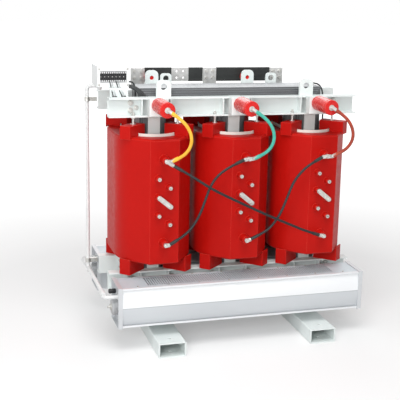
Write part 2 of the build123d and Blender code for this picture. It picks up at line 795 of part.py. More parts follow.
def fan_body():
    """The long casing, open at the top, with a raised seam between its two front panels."""
    half = FAN_HALF - FAN_FLANGE
    body = along_x(fan_profile(), -half, half) - fan_hollow()
    middle = FAN_BASE_Z + FAN_HEIGHT / 2
    body += block(-half, half, -FAN_FRONT_Y - 1, -FAN_FRONT_Y + 2, middle - 1.5, middle + 1.5)
    return body


def fan_grille():
    """The slotted sheet that covers the casing."""
    half = FAN_HALF - FAN_FLANGE
    y0 = -FAN_FRONT_Y + 16 + CONTACT
    y1 = -(FAN_FRONT_Y - FAN_DEPTH) - FAN_SHEET - CONTACT
    sheet = Pos(0, (y0 + y1) / 2) * Rectangle(2 * half - 2 * CONTACT, y1 - y0)
    slot_length = y1 - y0 - 2 * GRILLE_MARGIN
    middle = Pos(0, (y0 + y1) / 2)
    slot = Rectangle(SLOT_WIDTH, slot_length)
    sheet -= [middle * place * slot for place in GridLocations(SLOT_PITCH, 1, SLOT_COUNT, 1)]
    return Pos(0, 0, FAN_TOP_Z - FAN_SHEET) * extrude(sheet, FAN_SHEET)


def fan_end_plate(side):
    """An end plate with a flange round its edge that stands proud of the casing."""
    x0 = side * (FAN_HALF - FAN_FLANGE)
    x1 = side * FAN_HALF
    y0 = -FAN_FRONT_Y - 4
    y1 = -(FAN_FRONT_Y - FAN_DEPTH) + 4
    z0 = FAN_BASE_Z - 4
    z1 = FAN_TOP_Z + 5
    sheet = FAN_SHEET
    body = block(min(x0, x1), max(x0, x1), y0, y1, z0, z1)
    hollow_x0 = x0 + side * sheet
    return body - block(
        min(hollow_x0, x1), max(hollow_x0, x1), y0 + sheet, y1 - sheet, z0 + sheet, z1 - sheet
    )


def fan_motor(side):
    """The motor at the end of a fan."""
    x0 = side * (FAN_HALF - FAN_FLANGE + FAN_SHEET)
    y = -(FAN_FRONT_Y - FAN_DEPTH / 2)
    z = FAN_BASE_Z + FAN_HEIGHT * 0.42
    length = MOTOR_LENGTH
    motor = Pos(x0 + side * length / 2, y, z) * Rot(0, 90, 0) * Cylinder(MOTOR_RADIUS, length)
    return chamfer(motor.edges().filter_by(GeomType.CIRCLE), 5)


def fan_bracket(x):
    """An angle bracket on a foot of the lower clamp, under the fan casing."""
    sheet = 6
    half = 40
    y0 = -CLAMP_EDGE_Y
    z0 = FAN_BASE_Z - sheet
    body = block(x - half, x + half, -FAN_FRONT_Y + 40, y0, z0, FAN_BASE_Z)
    body += block(x - half, x + half, y0 - sheet, y0, z0, FAN_BASE_Z + FAN_BRACKET_RISE)
    return body


# ---- Controller box and wiring conduit ----
def controller_box():
    """A closed steel box with a window in its front for the terminal strip."""
    body = block(*BOX_X, *BOX_Y, *BOX_Z)
    body = fillet(body.edges().filter_by(Axis.Z), 4)
    border = 24
    return body - block(
        BOX_X[0] + STRIP_INSET, BOX_X[1] - STRIP_INSET,
        BOX_Y[0] - 1, BOX_Y[0] + 4 + STRIP_DEPTH,
        BOX_Z[0] + border, BOX_Z[1] - border,
    )


def terminal_strip():
    """A moulded strip of screw terminals with wire entries above and below."""
    x0 = BOX_X[0] + STRIP_INSET + CONTACT
    x1 = BOX_X[1] - STRIP_INSET - CONTACT
    z0 = BOX_Z[0] + 30
    z1 = BOX_Z[1] - 30
    y0 = BOX_Y[0] + 4
    body = block(x0, x1, y0, y0 + STRIP_DEPTH, z0, z1)
    pitch = (x1 - x0) / STRIP_WAYS
    middle = Pos((x0 + x1) / 2, y0, (z0 + z1) / 2)
    pocket = Box(pitch * 0.6, 12, (z1 - z0) * 0.3)
    return body - [middle * Pos(p.position.X, 0, p.position.Y) * pocket
                   for p in GridLocations(pitch, (z1 - z0) / 2, STRIP_WAYS, 2)]


def controller_bracket():
    """A folded shelf from the front clamp that carries the controller box."""
    sheet = 4
    x0 = BOX_X[0] + 60
    x1 = BOX_X[1] - 15
    y0 = -CLAMP_EDGE_Y + 10
    y_rise = -CLAMP_INSIDE_Y
    body = block(x0, x1, y0, y_rise, UPPER_CLAMP_TOP, UPPER_CLAMP_TOP + sheet)
    body += block(x0, x1, y_rise - sheet, y_rise, UPPER_CLAMP_TOP, BOX_Z[0])
    body += block(x0, x1, y_rise - sheet, BOX_Y[1] - 20, BOX_Z[0] - sheet, BOX_Z[0])
    return body


def conduit_sweep(points):
    """A rigid round conduit with equal bends."""
    path = FilletPolyline(*points, radius=CONDUIT_BEND)
    start = Plane(origin=path @ 0, z_dir=path % 0)
    return sweep(start * Circle(CONDUIT_RADIUS), path=path)


def wiring_conduit():
    """The conduit that takes the wiring from the controller down to both fans."""
    fan_x = -(FAN_HALF - FAN_FLANGE + FAN_SHEET)
    fan_y = FAN_FRONT_Y - 50
    x = CONDUIT_X
    entry_x = BOX_X[0] + 43
    entry_y = BOX_Y[1] - 30
    front = [
        (entry_x, entry_y, BOX_Z[0]),
        (entry_x, entry_y, CONDUIT_HIGH_Z),
        (entry_x, CONDUIT_Y, CONDUIT_HIGH_Z),
        (x, CONDUIT_Y, CONDUIT_HIGH_Z),
        (x, CONDUIT_Y, CONDUIT_LOW_Z),
        (x, -fan_y, CONDUIT_LOW_Z),
        (fan_x, -fan_y, CONDUIT_LOW_Z),
    ]
    rear = [
        (x, CONDUIT_Y - 5, CONDUIT_LOW_Z),
        (x, fan_y, CONDUIT_LOW_Z),
        (fan_x, fan_y, CONDUIT_LOW_Z),
    ]
    return conduit_sweep(front) + conduit_sweep(rear)


def conduit_clip(z):
    """A saddle on the end of a rear clamp that holds the conduit."""
    end = -CLAMP_LENGTH / 2
    ring = Pos(CONDUIT_X, CONDUIT_Y, z) * Cylinder(CONDUIT_RADIUS + 5, 24)
    arm = block(CONDUIT_X, end, CONDUIT_Y - 8, CONDUIT_Y + 8, z - 12, z + 12)
    return ring + arm - Pos(CONDUIT_X, CONDUIT_Y, z) * Cylinder(CONDUIT_RADIUS + 0.2, 60)


# ---- Cable routes, from one crimped end to the other ----
# They are drawn for the spacing of posts below, and stretched to the machine's own.
ROUTE_PITCH = 460
ROUTE_POST_Y = -397
ROUTE_POST_Z = (590, 1051)
LEAD_ROUTES = {
    "yellow": [
        (-434, -474, 1313), (-392, -486, 1284), (-352, -490, 1233), (-337, -485, 1177),
        (-346, -468, 1127), (-372, -445, 1088), (-403, -423, 1068),
    ],
    "green": [
        (26, -474, 1313), (68, -486, 1285), (105, -491, 1235), (120, -485, 1180),
        (112, -468, 1129), (87, -446, 1090), (57, -423, 1069),
    ],
    "brown": [
        (486, -474, 1313), (529, -487, 1284), (567, -490, 1232), (582, -484, 1176),
        (573, -467, 1127), (548, -445, 1089), (518, -423, 1068),
    ],
}
JUMPER_ROUTES = {
    "left_to_right": [
        (-388, -407, 1014), (-316, -430, 972), (-205, -461, 899), (-50, -472, 823),
        (105, -468, 747), (255, -448, 678), (345, -425, 635), (414, -409, 609),
    ],
    "middle_to_left": [
        (-46, -404, 1037), (-100, -417, 1018), (-168, -430, 981), (-214, -436, 928), (-242, -438, 852),
        (-273, -437, 762), (-320, -430, 682), (-364, -420, 640), (-404, -406, 611),
    ],
    "right_to_middle": [
        (413, -404, 1036), (360, -418, 1014), (300, -430, 972), (254, -436, 914), (224, -438, 836),
        (190, -437, 748), (144, -430, 676), (98, -418, 636), (57, -405, 612),
    ],
}
JUMPER_ENDS = {
    "left_to_right": ("left", "right"),
    "middle_to_left": ("middle", "left"),
    "right_to_middle": ("right", "middle"),
}
LEAD_COILS = {"yellow": "left", "green": "middle", "brown": "right"}


def fitted(points):
    """A route's points, moved with the posts that it joins."""
    low, high = ROUTE_POST_Z
    stretch = (UPPER_POST_Z - LOWER_POST_Z) / (high - low)
    return [
        (
            x * COIL_PITCH / ROUTE_PITCH,
            y + POST_Y - ROUTE_POST_Y,
            UPPER_POST_Z + z - high if z > high else LOWER_POST_Z + (z - low) * stretch,
        )
        for x, y, z in points
    ]


# ---- The whole machine ----
def build_windings():
    """Coils, insulation and resin blocks."""
    for name, axis_x in COILS.items():
        here = Pos(axis_x, 0, 0)
        save(f"hv_coil_{name}", here * hv_coil())
        save(f"lv_coil_{name}", here * lv_coil())
    axes = COILS.values()
    save("barriers", group([Pos(x, 0, 0) * barrier() for x in axes]))
    save("top_blocks", group([Pos(x, 0, 0) * piece for x in axes for piece in top_blocks()]))
    lower = on_diagonals(bottom_block())
    save("bottom_blocks", group([Pos(x, 0, 0) * piece for x in axes for piece in lower]))


def build_core_and_frame():
    """Core, clamps, tie plates, skids, lugs and their fasteners."""
    limbs, yoke = core_pieces()
    save("core_limbs", limbs)
    save("core_top_yoke", yoke)
    ties = tie_plates()
    save("tie_plates", group(ties + [to_rear(plate) for plate in ties]))
    save("upper_clamp_front", upper_clamp())
    save("upper_clamp_rear", to_rear(upper_clamp()))
    save("lower_clamp_front", lower_clamp())
    save("lower_clamp_rear", to_rear(lower_clamp()))
    save("skid_left", skid(-SKID_X))
    save("skid_right", skid(SKID_X))
    lug_y = CLAMP_EDGE_Y - CLAMP_FLANGE / 2
    lugs = [lifting_lug(side * FRONT_LUG_X, -lug_y, LUG_WIDTH) for side in (-1, 1)]
    save("lifting_lugs_front", group(lugs))
    lugs = [lifting_lug(side * REAR_LUG_X, lug_y, LUG_WIDTH * REAR_LUG_SHARE) for side in (-1, 1)]
    save("lifting_lugs_rear", group(lugs))
    save("pressure_bolts", group([pressure_bolt(x, y) for x, y in bolt_places()]))
    places = stud_places(UPPER_CLAMP_Z) + stud_places(LOWER_CLAMP_Z)
    save("clamp_studs", group([cross_stud(x, z) for x, z in places]))


def build_high_voltage_side():
    """Insulators, terminals, links and cables."""
    axes = list(COILS.values())
    save("insulator_brackets", group([insulator_bracket(x) for x in axes]))
    for name, axis_x in COILS.items():
        save(f"hv_insulator_{name}", hv_insulator(axis_x))
    inserts = []
    bolts = []
    links = []
    for axis_x in axes:
        for x, z in main_posts():
            inserts.append(metal_insert(axis_x + x, POST_Y, z, INSERT_RADIUS))
        for x, z in tap_posts():
            inserts.append(metal_insert(axis_x + x, TAP_Y, z, INSERT_RADIUS - 2))
        links.append(tap_link(axis_x))
        for x, z in tap_posts()[2:4]:
            bolts.append(post_bolt(axis_x + x, TAP_Y - 5, z, 12))
        bolts.append(post_bolt(axis_x + POST_OFFSET, POST_Y - 2 * TONGUE_THICK, UPPER_POST_Z, 16))
        bolts.append(post_bolt(axis_x + POST_OFFSET, POST_Y - TONGUE_THICK, LOWER_POST_Z, 12))
    save("terminal_inserts", group(inserts))
    save("terminal_bolts", group(bolts))
    save("tap_links", group(links))
    lugs = []
    terminals = []
    for colour, route in LEAD_ROUTES.items():
        points = fitted(route)
        axis_x = COILS[LEAD_COILS[colour]]
        save(f"phase_lead_{colour}", cable(colour, points, LEAD_DIAMETER))
        terminals.append(lead_terminal(axis_x, points))
        lugs.append(crimped_end(
            axis_x + POST_OFFSET, UPPER_POST_Z, points[::-1], LEAD_DIAMETER, POST_Y - TONGUE_THICK
        ))
    for name, route in JUMPER_ROUTES.items():
        points = fitted(route)
        upper, lower = JUMPER_ENDS[name]
        save(f"delta_jumper_{name}", cable(name, points, JUMPER_DIAMETER))
        lugs.append(crimped_end(
            COILS[upper] + POST_OFFSET, UPPER_POST_Z, points, JUMPER_DIAMETER, POST_Y
        ))
        lugs.append(crimped_end(
            COILS[lower] + POST_OFFSET, LOWER_POST_Z, points[::-1], JUMPER_DIAMETER, POST_Y
        ))
    save("insulator_terminals", group(terminals))
    save("cable_lugs", group(lugs))


def build_low_voltage_side():
    """Bars, sleeves, supports and their bolts."""
    save("lv_neutral_risers", group([neutral_riser(name) for name in COILS]))
    save("lv_phase_bars", group([phase_bar(x) for x in COILS.values()]))
    save("lv_neutral_bar", neutral_bar())
    save("lv_bar_sleeves", group(bar_sleeves()))
    bolts = [joint_bolt(x, z) for centre in LV_RISER_X.values() for x, z in pad_holes(centre)]
    save("lv_bar_bolts", group(bolts))
    save("lv_support_brackets", group([support_bracket(x) for x in LV_SUPPORT_X]))
    save("lv_support_insulators", group([support_insulator(x) for x in LV_SUPPORT_X]))


def build_cooling_and_wiring():
    """Fan units, controller box and conduit."""
    pieces = {
        "body": fan_body(),
        "grille": fan_grille(),
        "end_plates": group([fan_end_plate(side) for side in (-1, 1)]),
    }
    for name, shape in pieces.items():
        save(f"fan_front_{name}", shape)
        save(f"fan_rear_{name}", to_rear(shape))
    motor = fan_motor(-1)
    save("fan_motors", group([motor, to_rear(motor)]))
    brackets = [fan_bracket(side * SKID_X) for side in (-1, 1)]
    save("fan_brackets", group(brackets + [to_rear(piece) for piece in brackets]))
    save("controller_box", controller_box())
    save("controller_terminal_strip", terminal_strip())
    save("controller_bracket", controller_bracket())
    save("wiring_conduit", wiring_conduit())
    clip_places = [
        (LOWER_CLAMP_Z + LOWER_CLAMP_TOP) / 2 + 22, (UPPER_CLAMP_Z + UPPER_CLAMP_TOP) / 2
    ]
    save("conduit_clips", group([conduit_clip(z) for z in clip_places]))


build_windings()
build_core_and_frame()
build_high_voltage_side()
build_low_voltage_side()
build_cooling_and_wiring()
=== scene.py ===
import math

import bpy
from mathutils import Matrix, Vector


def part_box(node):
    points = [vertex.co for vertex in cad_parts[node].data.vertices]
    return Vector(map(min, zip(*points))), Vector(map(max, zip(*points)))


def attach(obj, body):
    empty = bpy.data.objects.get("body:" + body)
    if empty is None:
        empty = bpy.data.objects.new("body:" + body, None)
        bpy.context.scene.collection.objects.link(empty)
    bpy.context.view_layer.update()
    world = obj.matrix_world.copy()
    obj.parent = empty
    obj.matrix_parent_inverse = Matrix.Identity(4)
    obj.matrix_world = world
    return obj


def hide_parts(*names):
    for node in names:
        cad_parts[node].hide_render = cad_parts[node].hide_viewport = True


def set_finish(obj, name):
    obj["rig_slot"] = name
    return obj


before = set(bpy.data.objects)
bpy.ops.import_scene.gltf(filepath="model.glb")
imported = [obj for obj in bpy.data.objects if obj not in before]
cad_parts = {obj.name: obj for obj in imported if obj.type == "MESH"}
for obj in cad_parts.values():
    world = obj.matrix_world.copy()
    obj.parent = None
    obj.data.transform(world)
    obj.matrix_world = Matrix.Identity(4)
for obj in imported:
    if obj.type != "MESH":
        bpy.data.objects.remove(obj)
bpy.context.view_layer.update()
scene = bpy.context.scene
body = "root"
print("frame loaded:", len(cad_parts), "nodes")

# camera, world, lamps and floor
viewpoint = {
    "place": (-1.649, -5.236, 2.0543),
    "turn": (76.985, -1.645, -17.921),
    "lens": 86.37,
    "shift": (-0.0953, -0.0233),
    "sensor": 36.0,
    "clipEnd": 200.0,
}
lampSettings = {
    "keyLamp": {"place": (-3.3, -5.4, 2.5), "size": 2.6, "power": 165},
    "topLamp": {"place": (-0.7, -2.3, 4.5), "size": 3.2, "power": 130},
    "sideLamp": {"place": (-5.0, -0.8, 2.6), "size": 2.6, "power": 15},
    "backLamp": {"place": (1.0, 5.0, 3.4), "size": 3.2, "power": 60},
}
studio = {
    "lampAim": (0.0, 0.0, 0.75), "worldLight": 0.40, "floorSize": 60.0, "plainFloor": 0.8, "floorDiffuse": 0.68,
    "glowNear": 0.26, "glowFar": 0.95, "glowStart": 1.7, "glowEnd": 6.0,
}


def makeCamera():
    data = bpy.data.cameras.new("frontCamera")
    camera = bpy.data.objects.new("frontCamera", data)
    scene.collection.objects.link(camera)
    camera.location = viewpoint["place"]
    camera.rotation_euler = [math.radians(a) for a in viewpoint["turn"]]
    data.sensor_width = viewpoint["sensor"]
    data.lens = viewpoint["lens"]
    data.shift_x, data.shift_y = viewpoint["shift"]
    data.clip_end = viewpoint["clipEnd"]
    scene.camera = camera


def makeLamps():
    middle = Vector(studio["lampAim"])
    for name, lamp in lampSettings.items():
        data = bpy.data.lights.new(name, "AREA")
        data.shape = "DISK"
        data.size = lamp["size"]
        data.energy = lamp["power"]
        lampObject = bpy.data.objects.new(name, data)
        lampObject.location = lamp["place"]
        aim = middle - Vector(lamp["place"])
        lampObject.rotation_euler = aim.to_track_quat("-Z", "Y").to_euler()
        scene.collection.objects.link(lampObject)


def splitBySight(tree, unseen, seen, outKind):
    # the first shader only lights the scene, the second is what camera and glossy rays meet
    path = addNode(tree, "ShaderNodeLightPath")
    either = mathNode(tree, "MAXIMUM", path.outputs["Is Camera Ray"], path.outputs["Is Glossy Ray"])
    mix = addNode(tree, "ShaderNodeMixShader", {0: either, 1: unseen, 2: seen})
    addNode(tree, outKind, {"Surface": mix.outputs[0]})


def makeWorld():
    world = bpy.data.worlds.new("paleStudio")
    scene.world = world
    world.use_nodes = True
    tree = world.node_tree
    tree.nodes.clear()
    unseen, seen = [
        addNode(tree, "ShaderNodeBackground", {"Color": (1.0, 1.0, 1.0, 1.0), "Strength": strength}).outputs[0]
        for strength in (studio["worldLight"], 1.0)
    ]
    splitBySight(tree, unseen, seen, "ShaderNodeOutputWorld")


def makeFloor():
    half = studio["floorSize"] / 2
    corners = [(-half, -half, 0), (half, -half, 0), (half, half, 0), (-half, half, 0)]
    mesh = bpy.data.meshes.new("studioFloor")
    mesh.from_pydata(corners, [], [(0, 1, 2, 3)])
    floor = bpy.data.objects.new("studioFloor", mesh)
    scene.collection.objects.link(floor)
    material = bpy.data.materials.new("paleFloor")
    material.use_nodes = True
    tree = material.node_tree
    tree.nodes.clear()
    plain, shade = [
        addNode(tree, "ShaderNodeBsdfDiffuse", {"Color": (level, level, level, 1.0)}).outputs[0]
        for level in (studio["plainFloor"], studio["floorDiffuse"])
    ]
    # the glow grows with the distance from the machine, so the floor runs into the background
    where = addNode(tree, "ShaderNodeTexCoord")
    away = addNode(tree, "ShaderNodeVectorMath", {0: where.outputs["Object"]}, operation="LENGTH").outputs["Value"]
    fade = spread(tree, away, studio["glowStart"], studio["glowEnd"], studio["glowNear"], studio["glowFar"])
    glow = addNode(tree, "ShaderNodeEmission", {"Strength": fade})
    added = addNode(tree, "ShaderNodeAddShader", {0: shade, 1: glow.outputs[0]})
    splitBySight(tree, plain, added.outputs[0], "ShaderNodeOutputMaterial")
    floor.data.materials.append(material)


# node building blocks
def addNode(tree, kind, inputs=None, **settings):
    # each input is a plain value, the socket that feeds it, or None to leave it alone
    node = tree.nodes.new(kind)
    for name, value in settings.items():
        setattr(node, name, value)
    for name, value in (inputs or {}).items():
        if isinstance(value, bpy.types.NodeSocket):
            tree.links.new(value, node.inputs[name])
        elif value is not None:
            node.inputs[name].default_value = value
    return node


def mathNode(tree, operation, first, second=None):
    return addNode(tree, "ShaderNodeMath", {0: first, 1: second}, operation=operation).outputs[0]


def startMaterial(name, settings):
    material = bpy.data.materials.new(name)
    material.use_nodes = True
    shader = material.node_tree.nodes["Principled BSDF"]
    shader.inputs["Metallic"].default_value = settings.get("metallic", 0.0)
    shader.inputs["Specular IOR Level"].default_value = settings.get("specular", 0.5)
    return material, material.node_tree, shader


def place(tree, stretch=(1.0, 1.0, 1.0)):
    where = addNode(tree, "ShaderNodeTexCoord")
    return addNode(tree, "ShaderNodeMapping", {"Scale": stretch, "Vector": where.outputs["Object"]}).outputs["Vector"]


def noise(tree, scale, stretch=(1.0, 1.0, 1.0), detail=3.0, roughness=0.5):
    return addNode(tree, "ShaderNodeTexNoise", {
        "Scale": scale, "Detail": detail, "Roughness": roughness, "Vector": place(tree, stretch),
    }).outputs["Fac"]


def spread(tree, value, low, high, newLow, newHigh):
    return addNode(tree, "ShaderNodeMapRange", {
        "From Min": low, "From Max": high, "To Min": newLow, "To Max": newHigh, "Value": value,
    }).outputs["Result"]


def blendColours(tree, amount, first, second):
    first, second = [(*colour, 1.0) if isinstance(colour, tuple) else colour for colour in (first, second)]
    return addNode(tree, "ShaderNodeMix", {"Factor": amount, 6: first, 7: second}, data_type="RGBA").outputs[2]


def axisOf(tree, vector, axis):
    return addNode(tree, "ShaderNodeSeparateXYZ", {0: vector}).outputs[axis]


def roundedNormal(tree, radius):
    return addNode(tree, "ShaderNodeBevel", {"Radius": radius}, samples=4).outputs["Normal"]


# the mask of the rounded edges, where the resin gets its painted highlight
def edgeHighlightMask(tree, radius, low, high):
    normals = {0: roundedNormal(tree, radius), 1: addNode(tree, "ShaderNodeNewGeometry").outputs["Normal"]}
    dot = addNode(tree, "ShaderNodeVectorMath", normals, operation="DOT_PRODUCT")
    return spread(tree, dot.outputs["Value"], high, low, 0.0, 1.0)


def bump(tree, height, strength, distance, normal):
    return addNode(tree, "ShaderNodeBump", {
        "Strength": strength, "Distance": distance, "Height": height, "Normal": normal,
    }).outputs["Normal"]


def finishShader(tree, shader, colour, roughness, normal):
    for name, socket in (("Base Color", colour), ("Roughness", roughness), ("Normal", normal)):
        tree.links.new(socket, shader.inputs[name])


scene.view_settings.view_transform = "Standard"
makeCamera()
makeLamps()
makeWorld()
makeFloor()
print("camera, lamps, world and floor ready")


# materials
fineHeight = 0.0005  # height of brush marks and moulding grain
# in both resin looks, edge is the colour of a painted highlight laid along the rounded edges
resinLook = {
    "colour": (0.50, 0.0075, 0.0045), "deep": (0.43, 0.0050, 0.0030), "edge": (0.78, 0.085, 0.06),
    "specular": 0.12, "roughness": (0.36, 0.52), "rounding": 0.003, "edgeHighlightWidth": 0.0035,
    "edgeHighlightFrom": 0.78, "edgeHighlightTo": 0.995, "flow": 0.14, "peel": 0.05,
}
insulatorLook = {
    "colour": (0.66, 0.014, 0.012), "deep": (0.58, 0.010, 0.008), "edge": (1.0, 0.42, 0.38),
    "specular": 0.35, "roughness": (0.24, 0.30), "rounding": 0.0025, "edgeHighlightWidth": 0.0032,
    "edgeHighlightFrom": 0.60, "edgeHighlightTo": 0.90, "flow": 0.03, "peel": 0.01,
}
resinGrain = {
    "cloudScale": 2.2, "cloudStretch": (1.0, 1.0, 0.45), "mottleScale": 38.0, "mottleShare": 0.2,
    "flowScale": 9.0, "flowStretch": (1.0, 1.0, 0.3), "flowHeight": 0.0030, "peelScale": 260.0, "peelHeight": 0.0006,
}


def makeResin(name, look):
    material, tree, shader = startMaterial(name, look)
    grain = resinGrain
    cloud = noise(tree, grain["cloudScale"], grain["cloudStretch"], detail=3.0)
    mottle = noise(tree, grain["mottleScale"], detail=4.0, roughness=0.6)
    tone = mathNode(
        tree, "ADD", mathNode(tree, "MULTIPLY", cloud, 1.0 - grain["mottleShare"]),
        mathNode(tree, "MULTIPLY", mottle, grain["mottleShare"]))
    colour = blendColours(tree, spread(tree, tone, 0.35, 0.65, 0.0, 1.0), look["deep"], look["colour"])
    # painted highlight: the edge colour is painted along the rounded edges, as the light that the edges catch
    edges = edgeHighlightMask(tree, look["edgeHighlightWidth"], look["edgeHighlightFrom"], look["edgeHighlightTo"])
    colour = blendColours(tree, edges, colour, look["edge"])
    flow = noise(tree, grain["flowScale"], grain["flowStretch"], detail=2.0)
    peel = noise(tree, grain["peelScale"], detail=2.0)
    shape = bump(tree, flow, look["flow"], grain["flowHeight"], roundedNormal(tree, look["rounding"]))
    normal = bump(tree, peel, look["peel"], grain["peelHeight"], shape)
    roughness = spread(tree, mottle, 0.3, 0.7, *look["roughness"])
    finishShader(tree, shader, colour, roughness, normal)
    return material


paintLook = {
    "colour": (0.79, 0.84, 0.83), "shade": (0.71, 0.765, 0.755), "dust": (0.66, 0.64, 0.59),
    "specular": 0.45, "roughness": (0.36, 0.52),
}
boxLook = {
    "colour": (0.86, 0.88, 0.88), "shade": (0.78, 0.80, 0.80), "dust": (0.68, 0.67, 0.63),
    "specular": 0.4, "roughness": (0.40, 0.55),
}
paintGrain = {
    "cloudScale": 3.1, "grainScale": 620.0, "grainHeight": 0.0004, "smudgeScale": 14.0,
    "smudgeStretch": (1.0, 1.0, 0.4), "rounding": 0.0018,
}


def makePaint(name, look):
    material, tree, shader = startMaterial(name, look)
    cloud = noise(tree, paintGrain["cloudScale"], detail=3.0)
    grain = noise(tree, paintGrain["grainScale"], detail=2.0)
    smudge = noise(tree, paintGrain["smudgeScale"], paintGrain["smudgeStretch"], detail=5.0, roughness=0.65)
    colour = blendColours(tree, spread(tree, cloud, 0.32, 0.68, 0.0, 1.0), look["shade"], look["colour"])
    colour = blendColours(tree, spread(tree, smudge, 0.58, 0.80, 0.0, 0.35), colour, look["dust"])
    normal = bump(tree, grain, 0.10, paintGrain["grainHeight"], roundedNormal(tree, paintGrain["rounding"]))
    roughness = spread(tree, smudge, 0.3, 0.7, *look["roughness"])
    finishShader(tree, shader, colour, roughness, normal)
    return material


# ledge is a painted highlight colour for the up-facing ledges of the core steps
coreLook = {
    "light": (0.42, 0.435, 0.445), "dark": (0.06, 0.064, 0.068), "lacquer": (0.17, 0.178, 0.185),
    "ledge": (0.42, 0.435, 0.45), "metallic": 0.55, "specular": 0.5, "roughness": (0.34, 0.60),
    "sheetPitch": 0.0032, "jointFrom": 0.72, "jointHeight": 0.0006, "rounding": 0.0012,
    "streakScale": 26.0, "streakStretch": (0.25, 6.0, 6.0),
}


def makeCore():
    material, tree, shader = startMaterial("laminatedCore", coreLook)
    sheet = mathNode(tree, "DIVIDE", axisOf(tree, place(tree), "Y"), coreLook["sheetPitch"])
    whole = mathNode(tree, "FLOOR", sheet)
    within = mathNode(tree, "SUBTRACT", sheet, whole)
    joint = mathNode(tree, "GREATER_THAN", within, coreLook["jointFrom"])
    pick = addNode(tree, "ShaderNodeTexWhiteNoise", noise_dimensions="1D")
    tree.links.new(whole, pick.inputs["W"])
    streak = noise(tree, coreLook["streakScale"], coreLook["streakStretch"], detail=4.0)
    tone = mathNode(tree, "MULTIPLY", mathNode(tree, "ADD", pick.outputs["Value"], streak), 0.62)
    tone = spread(tree, tone, 0.2, 0.9, 0.0, 1.0)
    colour = blendColours(tree, tone, coreLook["lacquer"], coreLook["light"])
    colour = blendColours(tree, mathNode(tree, "MULTIPLY", joint, 0.75), colour, coreLook["dark"])
    # painted highlight: the up-facing ledges of the steps are painted lighter than the faces, as if they catch more
    # light
    trueNormal = addNode(tree, "ShaderNodeNewGeometry").outputs["True Normal"]
    upFacingHighlight = spread(tree, axisOf(tree, trueNormal, "Z"), 0.6, 0.9, 0.0, 0.75)
    colour = blendColours(tree, upFacingHighlight, colour, coreLook["ledge"])
    height = mathNode(tree, "SUBTRACT", 1.0, joint)
    normal = bump(tree, height, 0.35, coreLook["jointHeight"], roundedNormal(tree, coreLook["rounding"]))
    roughness = spread(tree, streak, 0.3, 0.7, *coreLook["roughness"])
    finishShader(tree, shader, colour, roughness, normal)
    return material


def makeMetal(name, look):
    material, tree, shader = startMaterial(name, look)
    cloud = noise(tree, look["cloudScale"], detail=4.0, roughness=0.6)
    brushed = noise(tree, look["brushScale"], look["brushStretch"], detail=3.0)
    colour = blendColours(tree, spread(tree, cloud, 0.3, 0.7, 0.0, 1.0), look["shade"], look["colour"])
    normal = bump(tree, brushed, look["brushBump"], fineHeight, roundedNormal(tree, look["rounding"]))
    roughness = spread(tree, brushed, 0.25, 0.75, *look["roughness"])
    finishShader(tree, shader, colour, roughness, normal)
    return material


platedLook = {
    "colour": (0.66, 0.66, 0.64), "shade": (0.46, 0.45, 0.42), "metallic": 0.85,
    "cloudScale": 55.0, "brushScale": 180.0, "brushStretch": (1.0, 1.0, 1.0), "brushBump": 0.12,
    "roughness": (0.28, 0.46), "rounding": 0.0010,
}
tinnedLook = {
    "colour": (0.70, 0.70, 0.69), "shade": (0.52, 0.52, 0.51), "metallic": 0.75,
    "cloudScale": 24.0, "brushScale": 90.0, "brushStretch": (0.12, 1.0, 1.0), "brushBump": 0.12,
    "roughness": (0.30, 0.50), "rounding": 0.0012,
}
fanLook = {
    "colour": (0.64, 0.66, 0.68), "shade": (0.56, 0.58, 0.60), "metallic": 0.30,
    "cloudScale": 2.4, "brushScale": 60.0, "brushStretch": (0.03, 3.0, 3.0), "brushBump": 0.10,
    "roughness": (0.34, 0.46), "rounding": 0.0010,
}
# upper and lower are one finish painted apart: upper is a painted reflection of the light above, lower is painted
# shade
panelLook = {
    "upper": (0.88, 0.90, 0.915), "lower": (0.56, 0.59, 0.615), "lip": (0.78, 0.80, 0.82),
    "joint": (0.16, 0.165, 0.175), "seamAndShadowShare": 0.55, "seamAndShadowHalf": 0.0011, "jointDrop": 0.003, "lipHeight": 0.012,
    "metallic": 0.22, "roughness": (0.30, 0.42), "rounding": 0.0010, "cloudScale": 2.4,
    "cloudStretch": (0.6, 1.0, 1.0), "brushScale": 60.0, "brushStretch": (0.03, 3.0, 3.0), "brushBump": 0.10,
}
grilleLook = {
    "colour": (0.63, 0.72, 0.76), "shade": (0.55, 0.64, 0.68), "metallic": 0.10,
    "cloudScale": 9.0, "brushScale": 120.0, "brushStretch": (0.1, 1.0, 1.0), "brushBump": 0.08,
    "roughness": (0.36, 0.50), "rounding": 0.0008,
}
motorLook = {
    "colour": (0.52, 0.53, 0.54), "shade": (0.38, 0.39, 0.40), "metallic": 0.5,
    "cloudScale": 30.0, "brushScale": 220.0, "brushStretch": (1.0, 1.0, 1.0), "brushBump": 0.2,
    "roughness": (0.40, 0.58), "rounding": 0.0012,
}


